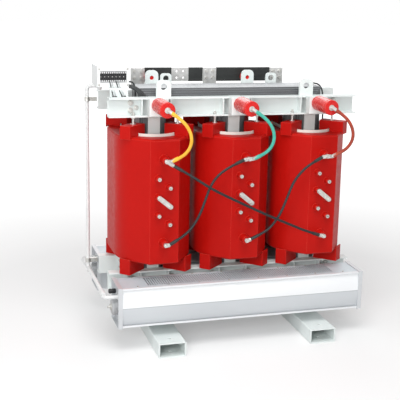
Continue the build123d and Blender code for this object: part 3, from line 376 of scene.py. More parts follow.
def makePanels(name, look, low, high):
    # the casing's upper and lower panels with their joints and lips, split by height; the upper panel is painted
    # bright as a painted reflection of the light above, the lower one darker as painted shade, and the lines at the
    # lips are painted shadow
    material, tree, shader = startMaterial(name, look)
    height = axisOf(tree, place(tree), "Z")
    middle, lowLip, highLip = (low + high) / 2, low + look["lipHeight"], high - look["lipHeight"]
    # painted light: the upper half gets the bright painted reflection, the lower half the darker painted shade
    upper = mathNode(tree, "GREATER_THAN", height, middle)
    colour = blendColours(tree, upper, look["lower"], look["upper"])
    outside = mathNode(
        tree, "ADD", mathNode(tree, "LESS_THAN", height, lowLip), mathNode(tree, "GREATER_THAN", height, highLip))
    colour = blendColours(tree, outside, colour, look["lip"])
    # the middle line is the dark seam between the panels; the lines at the two lips are painted shadow under and over
    # the lips
    seamAndLipShadows = None
    for level in (middle - look["jointDrop"], lowLip, highLip):
        away = mathNode(tree, "ABSOLUTE", mathNode(tree, "SUBTRACT", height, level))
        line = mathNode(tree, "LESS_THAN", away, look["seamAndShadowHalf"])
        seamAndLipShadows = line if seamAndLipShadows is None else mathNode(tree, "MAXIMUM", seamAndLipShadows, line)
    colour = blendColours(tree, mathNode(tree, "MULTIPLY", seamAndLipShadows, look["seamAndShadowShare"]), colour, look["joint"])
    cloud = noise(tree, look["cloudScale"], look["cloudStretch"], detail=3.0)
    colour = blendColours(tree, spread(tree, cloud, 0.3, 0.7, 0.0, 0.25), colour, look["lip"])
    brushed = noise(tree, look["brushScale"], look["brushStretch"], detail=3.0)
    normal = bump(tree, brushed, look["brushBump"], fineHeight, roundedNormal(tree, look["rounding"]))
    finishShader(tree, shader, colour, spread(tree, brushed, 0.25, 0.75, *look["roughness"]), normal)
    return material


plasticRounding = 0.0008


def makePlastic(name, look):
    material, tree, shader = startMaterial(name, look)
    cloud = noise(tree, look["cloudScale"], detail=3.0)
    grain = noise(tree, look["grainScale"], look.get("grainStretch", (1.0, 1.0, 1.0)), detail=3.0)
    colour = blendColours(tree, spread(tree, cloud, 0.3, 0.7, 0.0, 1.0), look["shade"], look["colour"])
    scuffs = spread(tree, grain, 0.62, 0.85, 0.0, look.get("scuff", 0.2))
    colour = blendColours(tree, scuffs, colour, look["scuffColour"])
    normal = bump(tree, grain, look["grainBump"], fineHeight, roundedNormal(tree, plasticRounding))
    roughness = spread(tree, grain, 0.3, 0.7, *look["roughness"])
    finishShader(tree, shader, colour, roughness, normal)
    return material


def cableLook(colour, shade, scuffColour):
    return {
        "colour": colour, "shade": shade, "scuffColour": scuffColour, "scuff": 0.35,
        "cloudScale": 26.0, "grainScale": 240.0, "grainBump": 0.10, "specular": 0.4,
        "roughness": (0.34, 0.50),
    }


plasticLooks = {
    "blackMoulding": {
        "colour": (0.018, 0.018, 0.020), "shade": (0.010, 0.010, 0.012), "scuffColour": (0.09, 0.09, 0.09),
        "cloudScale": 30.0, "grainScale": 400.0, "grainBump": 0.12, "roughness": (0.38, 0.56),
    },
    "shrinkSleeve": {
        "colour": (0.017, 0.020, 0.019), "shade": (0.010, 0.012, 0.012), "scuffColour": (0.08, 0.085, 0.08),
        "cloudScale": 12.0, "grainScale": 70.0, "grainStretch": (0.2, 1.0, 2.5), "grainBump": 0.22,
        "roughness": (0.40, 0.60),
    },
    "whiteConduit": {
        "colour": (0.78, 0.79, 0.79), "shade": (0.70, 0.71, 0.71), "scuffColour": (0.60, 0.59, 0.56),
        "cloudScale": 8.0, "grainScale": 160.0, "grainBump": 0.06, "roughness": (0.34, 0.48),
    },
    "barrierSheet": {
        "colour": (0.86, 0.85, 0.80), "shade": (0.78, 0.77, 0.70), "scuffColour": (0.60, 0.56, 0.47),
        "cloudScale": 14.0, "grainScale": 90.0, "grainStretch": (1.0, 1.0, 0.2), "grainBump": 0.15,
        "roughness": (0.45, 0.62),
    },
    "foilWinding": {
        "colour": (0.34, 0.17, 0.07), "shade": (0.22, 0.10, 0.04), "scuffColour": (0.46, 0.30, 0.15),
        "cloudScale": 16.0, "grainScale": 130.0, "grainStretch": (1.0, 1.0, 0.08), "grainBump": 0.30,
        "roughness": (0.34, 0.55),
    },
    "blackJacket": cableLook((0.013, 0.017, 0.019), (0.008, 0.010, 0.012), (0.075, 0.08, 0.085)),
    "yellowJacket": cableLook((0.93, 0.52, 0.05), (0.84, 0.41, 0.03), (0.98, 0.74, 0.30)),
    "greenJacket": cableLook((0.07, 0.47, 0.37), (0.05, 0.37, 0.29), (0.34, 0.68, 0.58)),
    "brownJacket": cableLook((0.42, 0.060, 0.028), (0.31, 0.040, 0.020), (0.58, 0.20, 0.12)),
    "paleWire": cableLook((0.55, 0.57, 0.58), (0.42, 0.44, 0.45), (0.65, 0.66, 0.66)),
    "ferruleWhite": cableLook((0.80, 0.81, 0.82), (0.68, 0.69, 0.70), (0.62, 0.60, 0.58)),
}

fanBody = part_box("fan_front_body")
finishes = {
    "red_resin": makeResin("redCastResin", resinLook),
    "insulatorResin": makeResin("redInsulatorResin", insulatorLook),
    "fanPanels": makePanels("fanCasingPanels", panelLook, fanBody[0].z, fanBody[1].z),
    "grey_paint": makePaint("paleMachinePaint", paintLook),
    "white_box": makePaint("whitePowderCoat", boxLook),
    "core_steel": makeCore(),
    "plated_steel": makeMetal("zincPlatedSteel", platedLook),
    "tinned_bar": makeMetal("tinnedCopperBar", tinnedLook),
    "fan_aluminium": makeMetal("satinFanAluminium", fanLook),
    "fanGrille": makeMetal("punchedFanSheet", grilleLook),
    "fanMotor": makeMetal("motorHousing", motorLook),
}
for key, look in plasticLooks.items():
    finishes[key] = makePlastic(key, look)
print("materials ready:", len(finishes))

nodeFinishes = {
    "red_resin": [
        "hv_coil_left", "hv_coil_middle", "hv_coil_right", "top_blocks", "bottom_blocks",
    ],
    "insulatorResin": [
        "hv_insulator_left", "hv_insulator_middle", "hv_insulator_right", "lv_support_insulators",
    ],
    "grey_paint": [
        "upper_clamp_front", "upper_clamp_rear", "lower_clamp_front", "lower_clamp_rear", "skid_left",
        "skid_right", "lifting_lugs_front", "lifting_lugs_rear", "insulator_brackets", "tie_plates",
        "lv_support_brackets", "controller_bracket", "fan_brackets",
    ],
    "core_steel": ["core_limbs", "core_top_yoke"],
    "plated_steel": [
        "clamp_studs", "pressure_bolts", "cable_lugs", "terminal_bolts", "terminal_inserts",
        "insulator_terminals", "tap_links", "lv_bar_bolts", "conduit_clips",
    ],
    "tinned_bar": ["lv_neutral_bar", "lv_neutral_risers", "lv_phase_bars"],
    "fanPanels": ["fan_front_body", "fan_rear_body"],
    "fan_aluminium": ["fan_front_end_plates", "fan_rear_end_plates"],
    "fanGrille": ["fan_front_grille", "fan_rear_grille"],
    "fanMotor": ["fan_motors"],
    "white_box": ["controller_box"],
    "blackMoulding": ["controller_terminal_strip"],
    "shrinkSleeve": ["lv_bar_sleeves"],
    "whiteConduit": ["wiring_conduit"],
    "barrierSheet": ["barriers"],
    "foilWinding": ["lv_coil_left", "lv_coil_middle", "lv_coil_right"],
}


def dressNode(name, material):
    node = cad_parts[name]
    if not node.material_slots:
        node.data.materials.append(material)
    for slot in node.material_slots:
        slot.material = material


for key, names in nodeFinishes.items():
    for name in names:
        dressNode(name, finishes[key])
print("carried-over nodes dressed")


# cables, with given routes from terminal to terminal
leadCables = {
    "diameter": 0.018,
    "yellow": {
        "finish": "yellowJacket", "length": 0.321,
        "route": [
            (-0.434, -0.474, 1.313), (-0.392, -0.486, 1.284), (-0.352, -0.490, 1.233), (-0.337, -0.485, 1.177),
            (-0.346, -0.468, 1.127), (-0.372, -0.445, 1.088), (-0.403, -0.423, 1.068),
        ],
    },
    "green": {
        "finish": "greenJacket", "length": 0.317,
        "route": [
            (0.026, -0.474, 1.313), (0.068, -0.486, 1.285), (0.105, -0.491, 1.235), (0.120, -0.485, 1.180),
            (0.112, -0.468, 1.129), (0.087, -0.446, 1.090), (0.057, -0.423, 1.069),
        ],
    },
    "brown": {
        "finish": "brownJacket", "length": 0.319,
        "route": [
            (0.486, -0.474, 1.313), (0.529, -0.487, 1.284), (0.567, -0.490, 1.232), (0.582, -0.484, 1.176),
            (0.573, -0.467, 1.127), (0.548, -0.445, 1.089), (0.518, -0.423, 1.068),
        ],
    },
}
jumperCables = {
    "diameter": 0.014,
    "left_to_right": {
        "length": 0.912,
        "route": [
            (-0.388, -0.407, 1.014), (-0.316, -0.430, 0.972), (-0.205, -0.461, 0.899), (-0.050, -0.472, 0.823),
            (0.105, -0.468, 0.747), (0.255, -0.448, 0.678), (0.345, -0.425, 0.635), (0.414, -0.409, 0.609),
        ],
    },
    "middle_to_left": {
        "length": 0.588,
        "route": [
            (-0.046, -0.404, 1.037), (-0.100, -0.417, 1.018), (-0.168, -0.430, 0.981), (-0.214, -0.436, 0.928),
            (-0.242, -0.438, 0.852), (-0.273, -0.437, 0.762), (-0.320, -0.430, 0.682), (-0.364, -0.420, 0.640),
            (-0.404, -0.406, 0.611),
        ],
    },
    "right_to_middle": {
        "length": 0.580,
        "route": [
            (0.413, -0.404, 1.036), (0.360, -0.418, 1.014), (0.300, -0.430, 0.972), (0.254, -0.436, 0.914),
            (0.224, -0.438, 0.836), (0.190, -0.437, 0.748), (0.144, -0.430, 0.676), (0.098, -0.418, 0.636),
            (0.057, -0.405, 0.612),
        ],
    },
}
# sleeves at the cables' ends: how far they reach back over the barrel, and along the cable
jumperSleeves = {"wall": 0.0026, "length": 0.018, "overTop": 0.027, "overFoot": 0.027}
leadSleeves = {"wall": 0.0019, "length": 0.008, "overTop": 0.014, "overFoot": 0.024}
cableMesh = {"alongSteps": 12, "roundSteps": 5, "sleeveSteps": 4, "sleeveEnd": 0.94}


def cableCurve(name, route, diameter, material):
    data = bpy.data.curves.new(name, "CURVE")
    data.dimensions = "3D"
    data.resolution_u = cableMesh["alongSteps"]
    spline = data.splines.new("NURBS")
    spline.points.add(len(route) - 1)
    for point, place3 in zip(spline.points, route):
        point.co = (*place3, 1.0)
    spline.order_u = 3
    spline.use_endpoint_u = True
    data.bevel_depth = diameter / 2
    data.bevel_resolution = cableMesh["roundSteps"]
    data.use_fill_caps = True
    data.materials.append(material)
    cable = bpy.data.objects.new(name, data)
    scene.collection.objects.link(cable)
    return cable


def routeLine(cable):
    # the smooth centreline of a cable, as points
    depth = cable.data.bevel_depth
    cable.data.bevel_depth = 0.0
    cable.data.use_fill_caps = False
    bpy.context.view_layer.update()
    depsgraph = bpy.context.evaluated_depsgraph_get()
    mesh = bpy.data.meshes.new_from_object(cable.evaluated_get(depsgraph))
    line = [vertex.co.copy() for vertex in mesh.vertices]
    bpy.data.meshes.remove(mesh)
    cable.data.bevel_depth = depth
    cable.data.use_fill_caps = True
    return line


def bakedMesh(source, name):
    # a plain mesh piece made from an object with modifiers or a bevelled curve
    bpy.context.view_layer.update()
    depsgraph = bpy.context.evaluated_depsgraph_get()
    mesh = bpy.data.meshes.new_from_object(source.evaluated_get(depsgraph))
    mesh.name = name
    bpy.data.objects.remove(source)
    piece = bpy.data.objects.new(name, mesh)
    scene.collection.objects.link(piece)
    return piece


def endSleeve(name, end, line, radius, sizes, material):
    # end says which of the sizes holds; the line starts at that end
    name += end
    data = bpy.data.curves.new(name + "Line", "CURVE")
    data.dimensions = "3D"
    outwards = (line[0] - line[2]).normalized()
    kept = [line[0] + outwards * sizes["over" + end], line[0]]
    run = 0.0
    for before, after in zip(line, line[1:]):
        run += (after - before).length
        kept.append(after)
        if run > sizes["length"]:
            break
    spline = data.splines.new("POLY")
    spline.points.add(len(kept) - 1)
    for index, (point, place3) in enumerate(zip(spline.points, kept)):
        point.co = (*place3, 1.0)
        point.radius = 1.0 if index < len(kept) - 2 else cableMesh["sleeveEnd"]
    data.bevel_depth = radius + sizes["wall"]
    data.bevel_resolution = cableMesh["sleeveSteps"]
    data.use_fill_caps = True
    data.materials.append(material)
    source = bpy.data.objects.new(name + "Line", data)
    scene.collection.objects.link(source)
    sleeve = bakedMesh(source, name)
    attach(sleeve, body)
    return sleeve


def sleevedCable(cableName, sleeveName, route, diameter, sizes, finish, sleeveFinish):
    cable = cableCurve(cableName, route, diameter, finishes[finish])
    line = routeLine(cable)
    sleeves = [
        endSleeve(sleeveName, end, points, diameter / 2, sizes, finishes[sleeveFinish])
        for end, points in (("Top", line), ("Foot", line[::-1]))
    ]
    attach(cable, body)
    return cable, sleeves


for colour in ("yellow", "green", "brown"):
    lead = leadCables[colour]
    label = colour.capitalize()
    cable, sleeves = sleevedCable(
        "phaseLead" + label, "leadSleeve" + label, lead["route"], leadCables["diameter"], leadSleeves,
        lead["finish"], lead["finish"])
    for sleeve in sleeves:
        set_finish(sleeve, "cable_" + colour)
    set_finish(cable, "cable_" + colour)
    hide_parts("phase_lead_" + colour)
for way in ("left_to_right", "middle_to_left", "right_to_middle"):
    jumper = jumperCables[way]
    label = "".join(word.capitalize() for word in way.split("_"))
    cable, sleeves = sleevedCable(
        "deltaJumper" + label, "jumperSleeve" + label, jumper["route"], jumperCables["diameter"], jumperSleeves,
        "blackJacket", "shrinkSleeve")
    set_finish(cable, "cable_black")
    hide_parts("delta_jumper_" + way)
print("phase leads and delta jumpers laid")

# sensor leads over the yoke and wires of the controller; each ends inside the machine
thinCords = {
    "sensorLeadLeft": {
        "diameter": 0.009, "length": 0.316, "finish": "blackJacket", "stiffness": "medium",
        "route": [
            (-0.592, -0.024, 1.430), (-0.572, -0.026, 1.434), (-0.553, -0.042, 1.425), (-0.549, -0.066, 1.385),
            (-0.556, -0.082, 1.310), (-0.562, -0.086, 1.230), (-0.562, -0.085, 1.160),
        ],
    },
    "sensorLeadRight": {
        "diameter": 0.009, "length": 0.497, "finish": "blackJacket", "stiffness": "medium",
        "route": [
            (0.498, 0.133, 1.350), (0.498, 0.134, 1.395), (0.502, 0.104, 1.417), (0.512, 0.050, 1.413),
            (0.526, 0.000, 1.413), (0.545, -0.045, 1.412), (0.556, -0.076, 1.385), (0.558, -0.088, 1.320),
            (0.562, -0.087, 1.240), (0.562, -0.085, 1.160),
        ],
    },
    "controllerWireA": {
        "diameter": 0.005, "length": 0.100, "finish": "blackJacket", "stiffness": "limp",
        "route": [
            (-0.698, -0.096, 1.441), (-0.698, -0.110, 1.437), (-0.697, -0.124, 1.418), (-0.694, -0.146, 1.392),
            (-0.690, -0.160, 1.367),
        ],
    },
    "controllerWireB": {
        "diameter": 0.005, "length": 0.102, "finish": "paleWire", "stiffness": "limp",
        "route": [
            (-0.687, -0.096, 1.441), (-0.687, -0.111, 1.436), (-0.685, -0.127, 1.416), (-0.681, -0.148, 1.391),
            (-0.677, -0.162, 1.367),
        ],
    },
    "controllerWireC": {
        "diameter": 0.005, "length": 0.104, "finish": "blackJacket", "stiffness": "limp",
        "route": [
            (-0.664, -0.096, 1.441), (-0.664, -0.111, 1.438), (-0.660, -0.127, 1.416), (-0.650, -0.148, 1.390),
            (-0.641, -0.160, 1.367),
        ],
    },
    "controllerWireD": {
        "diameter": 0.005, "length": 0.105, "finish": "paleWire", "stiffness": "limp",
        "route": [
            (-0.653, -0.096, 1.441), (-0.653, -0.112, 1.437), (-0.648, -0.128, 1.415), (-0.637, -0.149, 1.389),
            (-0.627, -0.161, 1.367),
        ],
    },
}
# the front leads leave the controller side by side and fan out down to the clamp
frontLeads = {
    "letters": "ABCD", "diameter": 0.010, "between": 0.0125, "startStep": (-0.008, -0.0035), "webInside": -0.1335,
    "route": [
        (-0.592, -0.070, 1.419), (-0.575, -0.076, 1.417), (-0.553, -0.090, 1.408), (-0.533, -0.107, 1.395),
        (-0.519, -0.121, 1.380), (-0.512, -0.1315, 1.364), (-0.511, -0.1335, 1.346),
    ],
    "lengths": [0.137, 0.125, 0.113, 0.102],
}
lastStep = len(frontLeads["route"]) - 1
for index, letter in enumerate(frontLeads["letters"]):
    route = []
    for step, (x, y, z) in enumerate(frontLeads["route"]):
        near, far = 1 - step / lastStep, step / lastStep
        x -= index * frontLeads["between"] * far
        y += index * frontLeads["startStep"][0] * near
        z += index * frontLeads["startStep"][1] * near
        route.append((x, max(y, frontLeads["webInside"]), z))
    thinCords["sensorLeadFront" + letter] = {
        "diameter": frontLeads["diameter"], "length": frontLeads["lengths"][index], "route": route,
        "finish": "blackJacket" if index % 2 else "shrinkSleeve", "stiffness": "medium",
    }
for name, cord in thinCords.items():
    cable = cableCurve(name, cord["route"], cord["diameter"], finishes[cord["finish"]])
    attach(cable, body)
    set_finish(cable, "cable_black")
print("sensor leads and controller wires laid")


# repeated hardware, made with Geometry Nodes
def newTree(name, inputs):
    tree = bpy.data.node_groups.new(name, "GeometryNodeTree")
    tree.is_modifier = True
    tree.interface.new_socket(name="Geometry", in_out="INPUT", socket_type="NodeSocketGeometry")
    for label, kind in inputs:
        tree.interface.new_socket(name=label, in_out="INPUT", socket_type="NodeSocket" + kind)
    tree.interface.new_socket(name="Geometry", in_out="OUTPUT", socket_type="NodeSocketGeometry")
    start = tree.nodes.new("NodeGroupInput")
    end = tree.nodes.new("NodeGroupOutput")
    return tree, start, end


def alongZ(tree, value):
    return addNode(tree, "ShaderNodeCombineXYZ", {"Z": value}).outputs[0]


def geoPart(tree, kind, settings, lift=None):
    # one primitive, raised along Z by lift
    mesh = addNode(tree, kind, settings).outputs["Mesh"]
    if lift is None:
        return mesh
    shift = {"Geometry": mesh, "Translation": alongZ(tree, lift)}
    return addNode(tree, "GeometryNodeTransform", shift).outputs[0]


def joinAll(tree, parts):
    join = addNode(tree, "GeometryNodeJoinGeometry")
    for part in parts:
        tree.links.new(part, join.inputs[0])
    return join.outputs[0]


def onPoints(tree, points, instance, euler=None, scale=None):
    turn = None
    if euler is not None:
        turn = addNode(tree, "FunctionNodeEulerToRotation", {"Euler": euler}).outputs[0]
    return addNode(tree, "GeometryNodeInstanceOnPoints", {
        "Points": points, "Instance": instance, "Rotation": turn, "Scale": scale,
    }).outputs[0]


def endTree(tree, geometry, start, end):
    realize = addNode(tree, "GeometryNodeRealizeInstances", {"Geometry": geometry})
    dressed = {"Geometry": realize.outputs[0], "Material": start.outputs["Material"]}
    setMaterial = addNode(tree, "GeometryNodeSetMaterial", dressed)
    tree.links.new(setMaterial.outputs[0], end.inputs["Geometry"])


boltShape = {
    "washerSides": 20, "studSides": 12, "domeTop": 0.40, "domeFoot": 0.50, "domeHeight": 0.12,
}


def makeBoltTree():
    tree, start, end = newTree("hexBoltsOnPoints", [
        ("Width", "Float"), ("Height", "Float"), ("Washer Radius", "Float"), ("Washer Thickness", "Float"),
        ("Stud Radius", "Float"), ("Stud Height", "Float"), ("Direction", "Vector"), ("Material", "Material"),
    ])
    given = start.outputs
    width, height, washer = given["Width"], given["Height"], given["Washer Thickness"]
    headTop = mathNode(tree, "ADD", height, washer)
    head = geoPart(tree, "GeometryNodeMeshCylinder", {
        "Vertices": 6, "Radius": mathNode(tree, "DIVIDE", width, math.sqrt(3.0)), "Depth": height,
    }, mathNode(tree, "ADD", mathNode(tree, "MULTIPLY", height, 0.5), washer))
    ring = geoPart(tree, "GeometryNodeMeshCylinder", {
        "Vertices": boltShape["washerSides"], "Radius": given["Washer Radius"], "Depth": washer,
    }, mathNode(tree, "MULTIPLY", washer, 0.5))
    dome = geoPart(tree, "GeometryNodeMeshCone", {
        "Vertices": boltShape["studSides"], "Radius Top": mathNode(tree, "MULTIPLY", width, boltShape["domeTop"]),
        "Radius Bottom": mathNode(tree, "MULTIPLY", width, boltShape["domeFoot"]),
        "Depth": mathNode(tree, "MULTIPLY", height, boltShape["domeHeight"]),
    }, headTop)
    stud = geoPart(tree, "GeometryNodeMeshCylinder", {
        "Vertices": boltShape["studSides"], "Radius": given["Stud Radius"], "Depth": given["Stud Height"],
    }, headTop)
    bolt = joinAll(tree, [head, ring, dome, stud])
    endTree(tree, onPoints(tree, given["Geometry"], bolt, given["Direction"]), start, end)
    return tree


wheelShape = {"bladeThick": 0.0012, "bladeAngle": 0.6, "discSides": 28, "discRim": 0.003, "discThick": 0.002}


def makeBladeTree():
    tree, start, end = newTree("fanWheel", [
        ("Count", "Int"), ("Radius", "Float"), ("Chord", "Float"), ("Length", "Float"), ("Discs", "Int"),
        ("Centre", "Vector"), ("Material", "Material"),
    ])
    given = start.outputs
    circle = addNode(tree, "GeometryNodeMeshCircle", {"Vertices": given["Count"], "Radius": given["Radius"]})
    size = addNode(tree, "ShaderNodeCombineXYZ", {
        "X": given["Chord"], "Y": wheelShape["bladeThick"], "Z": given["Length"]})
    blade = geoPart(tree, "GeometryNodeMeshCube", {"Size": size.outputs[0]})
    turn = mathNode(tree, "DIVIDE", addNode(tree, "GeometryNodeInputIndex").outputs[0], given["Count"])
    angle = mathNode(tree, "ADD", mathNode(tree, "MULTIPLY", turn, 2 * math.pi), wheelShape["bladeAngle"])
    blades = onPoints(tree, circle.outputs[0], blade, alongZ(tree, angle))
    half = mathNode(tree, "MULTIPLY", given["Length"], 0.5)
    row = addNode(tree, "GeometryNodeMeshLine", {
        "Count": given["Discs"], "Offset": alongZ(tree, half),
        "Start Location": alongZ(tree, mathNode(tree, "MULTIPLY", half, -1.0)),
    }, mode="END_POINTS")
    disc = geoPart(tree, "GeometryNodeMeshCylinder", {
        "Vertices": wheelShape["discSides"], "Depth": wheelShape["discThick"],
        "Radius": mathNode(tree, "ADD", given["Radius"], wheelShape["discRim"]),
    })
    lay = addNode(tree, "GeometryNodeTransform", {
        "Geometry": joinAll(tree, [blades, onPoints(tree, row.outputs[0], disc)]),
        "Rotation": (0.0, math.pi / 2, 0.0), "Translation": given["Centre"],
    })
    endTree(tree, lay.outputs[0], start, end)
    return tree


beadShape = {"segments": 8, "rings": 5, "smallest": 0.85, "largest": 1.12}


def makeWeldTree():
    tree, start, end = newTree("weldBeadOnPath", [
        ("Radius", "Float"), ("Pitch", "Float"), ("Seed", "Int"), ("Material", "Material"),
    ])
    given = start.outputs
    path = addNode(tree, "GeometryNodeMeshToCurve", {0: given["Geometry"]})
    spots = addNode(
        tree, "GeometryNodeResampleCurve", {"Curve": path.outputs[0], "Length": given["Pitch"]}, mode="LENGTH")
    scale = addNode(tree, "FunctionNodeRandomValue", {
        2: beadShape["smallest"], 3: beadShape["largest"], "Seed": given["Seed"],
    }, data_type="FLOAT")
    ball = geoPart(tree, "GeometryNodeMeshUVSphere", {
        "Segments": beadShape["segments"], "Rings": beadShape["rings"], "Radius": given["Radius"],
    })
    beads = onPoints(tree, spots.outputs[0], ball, scale=scale.outputs[1])
    smooth = addNode(tree, "GeometryNodeSetShadeSmooth", {0: beads})
    endTree(tree, smooth.outputs[0], start, end)
    return tree


def runTree(name, tree, values, points, edges=()):
    mesh = bpy.data.meshes.new(name + "Points")
    mesh.from_pydata(points, edges, [])
    source = bpy.data.objects.new(name + "Points", mesh)
    scene.collection.objects.link(source)
    modifier = source.modifiers.new("build", "NODES")
    modifier.node_group = tree
    for item in tree.interface.items_tree:
        if item.item_type == "SOCKET" and item.in_out == "INPUT" and item.name in values:
            modifier[item.identifier] = values[item.name]
    piece = bakedMesh(source, name)
    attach(piece, body)
    return piece


facing = {
    "front": (math.pi / 2, 0.0, 0.0), "rear": (-math.pi / 2, 0.0, 0.0), "up": (0.0, 0.0, 0.0),
    "left": (0.0, -math.pi / 2, 0.0), "right": (0.0, math.pi / 2, 0.0), "down": (math.pi, 0.0, 0.0),
}
boltSizes = {
    "footBolt": {"Width": 0.024, "Height": 0.011, "Washer Radius": 0.018, "Washer Thickness": 0.003,
                 "Stud Radius": 0.008, "Stud Height": 0.016},
    "webBolt": {"Width": 0.019, "Height": 0.008, "Washer Radius": 0.014, "Washer Thickness": 0.0025,
                "Stud Radius": 0.006, "Stud Height": 0.010},
    "sheetScrew": {"Width": 0.008, "Height": 0.0032, "Washer Radius": 0.0058, "Washer Thickness": 0.0008,
                   "Stud Radius": 0.0014, "Stud Height": 0.0012},
    "stripScrew": {"Width": 0.0040, "Height": 0.0014, "Washer Radius": 0.0024, "Washer Thickness": 0.0008,
                   "Stud Radius": 0.0010, "Stud Height": 0.0008},
    "conduitNut": {"Width": 0.030, "Height": 0.011, "Washer Radius": 0.0195, "Washer Thickness": 0.003,
                   "Stud Radius": 0.0128, "Stud Height": 0.006},
}
boltTree = makeBoltTree()
bladeTree = makeBladeTree()
weldTree = makeWeldTree()


def placeBolts(name, size, direction, points, finish="plated_steel", slot="plated_steel"):
    values = {**boltSizes[size], "Direction": facing[direction], "Material": finishes[finish]}
    piece = runTree(name, boltTree, values, points)
    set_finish(piece, slot)


def flipped(points, sideX, sideY):
    return [(sideX * x, sideY * y, z) for x, y, z in points]


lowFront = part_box("lower_clamp_front")
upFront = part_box("upper_clamp_front")
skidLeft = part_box("skid_left")
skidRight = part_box("skid_right")
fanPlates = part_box("fan_front_end_plates")
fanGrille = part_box("fan_front_grille")
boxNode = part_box("controller_box")
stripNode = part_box("controller_terminal_strip")
skidMiddles = [(skid[0].x + skid[1].x) / 2 for skid in (skidLeft, skidRight)]
coilAxes = [-0.46, 0.0, 0.46]

# bolts from the clamps' feet into the skids
feet = {"fromMiddle": 0.034, "inset": 0.026, "soleThick": 0.010}
footPoints = [
    (x + sideX * feet["fromMiddle"], side * (abs(lowFront[0].y) - feet["inset"]), skidLeft[1].z + feet["soleThick"])
    for x in skidMiddles for sideX in (-1, 1) for side in (-1, 1)
]
placeBolts("footBolts", "footBolt", "up", footPoints)

# bolts in the clamps' webs, and one at the left end of the upper front web
webs = {"face": -0.146, "fromAxis": 0.112, "inset": 0.052, "leftBolt": (-0.562, 0.046)}
upperWeb, lowerWeb = [
    [(x + side * webs["fromAxis"], webs["face"], z) for x in coilAxes for side in (-1, 1)]
    for z in (upFront[0].z + webs["inset"], lowFront[1].z - webs["inset"])
]
leftX, leftRise = webs["leftBolt"]
placeBolts("webBoltsFront", "webBolt", "front", [(leftX, webs["face"], upFront[0].z + leftRise)])
placeBolts("webBoltsRear", "webBolt", "rear", flipped(upperWeb, 1, -1))
placeBolts("webBoltsLowFront", "webBolt", "front", lowerWeb)
placeBolts("webBoltsLowRear", "webBolt", "rear", flipped(lowerWeb, 1, -1))

# screws of the fan sheets and end plates
sheets = {"endGap": 0.04, "rowPitch": 0.172, "edge": 0.011, "plateThick": 0.003, "plateY": 0.022, "plateZ": 0.020}
rowCount = int((fanGrille[1].x - fanGrille[0].x - sheets["endGap"]) / sheets["rowPitch"])
screwRow = [sheets["rowPitch"] * (i - rowCount / 2) for i in range(rowCount + 1)]
grilleEdges = (fanGrille[0].y + sheets["edge"], fanGrille[1].y - sheets["edge"])
grillePoints = [(x, y, fanGrille[1].z) for x in screwRow for y in grilleEdges]
placeBolts("grilleScrewsFront", "sheetScrew", "up", grillePoints)
placeBolts("grilleScrewsRear", "sheetScrew", "up", flipped(grillePoints, 1, -1))
plateMiddle = (fanPlates[0].y + fanPlates[1].y) / 2
plateY = [fanPlates[0].y + sheets["plateY"], plateMiddle, fanPlates[1].y - sheets["plateY"]]
plateZ = [fanPlates[0].z + sheets["plateZ"], fanPlates[1].z - sheets["plateZ"]]
endX = fanBody[1].x + sheets["plateThick"]
platePoints = [(endX, side * y, z) for y in plateY for z in plateZ for side in (-1, 1)]
placeBolts("endPlateScrewsRight", "sheetScrew", "right", platePoints)
placeBolts("endPlateScrewsLeft", "sheetScrew", "left", flipped(platePoints, -1, 1))

# screws of the terminal strip, and of the controller's lid
strip = {"ways": 14, "lidX": 0.009, "lidZ": 0.012}
stripPitch = (stripNode[1].x - stripNode[0].x) / strip["ways"]
stripMiddle = (stripNode[0].z + stripNode[1].z) / 2
wayPlaces = [stripNode[0].x + stripPitch * (i + 0.5) for i in range(strip["ways"])]
placeBolts("stripScrews", "stripScrew", "front", [(x, stripNode[0].y, stripMiddle) for x in wayPlaces[::2]])
lidPoints = [
    (x, boxNode[0].y, z)
    for x in (boxNode[0].x + strip["lidX"], boxNode[1].x - strip["lidX"])
    for z in (boxNode[0].z + strip["lidZ"], boxNode[1].z - strip["lidZ"])
]
placeBolts("controllerLidScrews", "sheetScrew", "front", lidPoints)

# nuts where the conduit enters the controller and the fans
entries = {"box": (-0.722, 0.060), "fanY": 0.376, "fanZ": 0.312}
boxEntry = [(*entries["box"], boxNode[0].z)]
fanEntries = [(-endX, side * entries["fanY"], entries["fanZ"]) for side in (-1, 1)]
placeBolts("conduitNutBox", "conduitNut", "down", boxEntry, "whiteConduit", "white_conduit")
placeBolts("conduitNutFans", "conduitNut", "left", fanEntries, "whiteConduit", "white_conduit")
print("bolts, screws and nuts placed")

# the long wheels inside the fans
wheel = {"Count": 34, "Radius": 0.062, "Chord": 0.016, "Length": 1.33, "Discs": 9}
wheelDrop = 0.012
for name, side in (("fanWheelFront", 1), ("fanWheelRear", -1)):
    centre = (0.0, side * (fanBody[0].y + fanBody[1].y) / 2, (fanBody[0].z + fanBody[1].z) / 2 - wheelDrop)
    values = {**wheel, "Centre": centre, "Material": finishes["fan_aluminium"]}
    piece = runTree(name, bladeTree, values, [(0, 0, 0)])
    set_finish(piece, "fan_aluminium")
print("fan wheels placed")

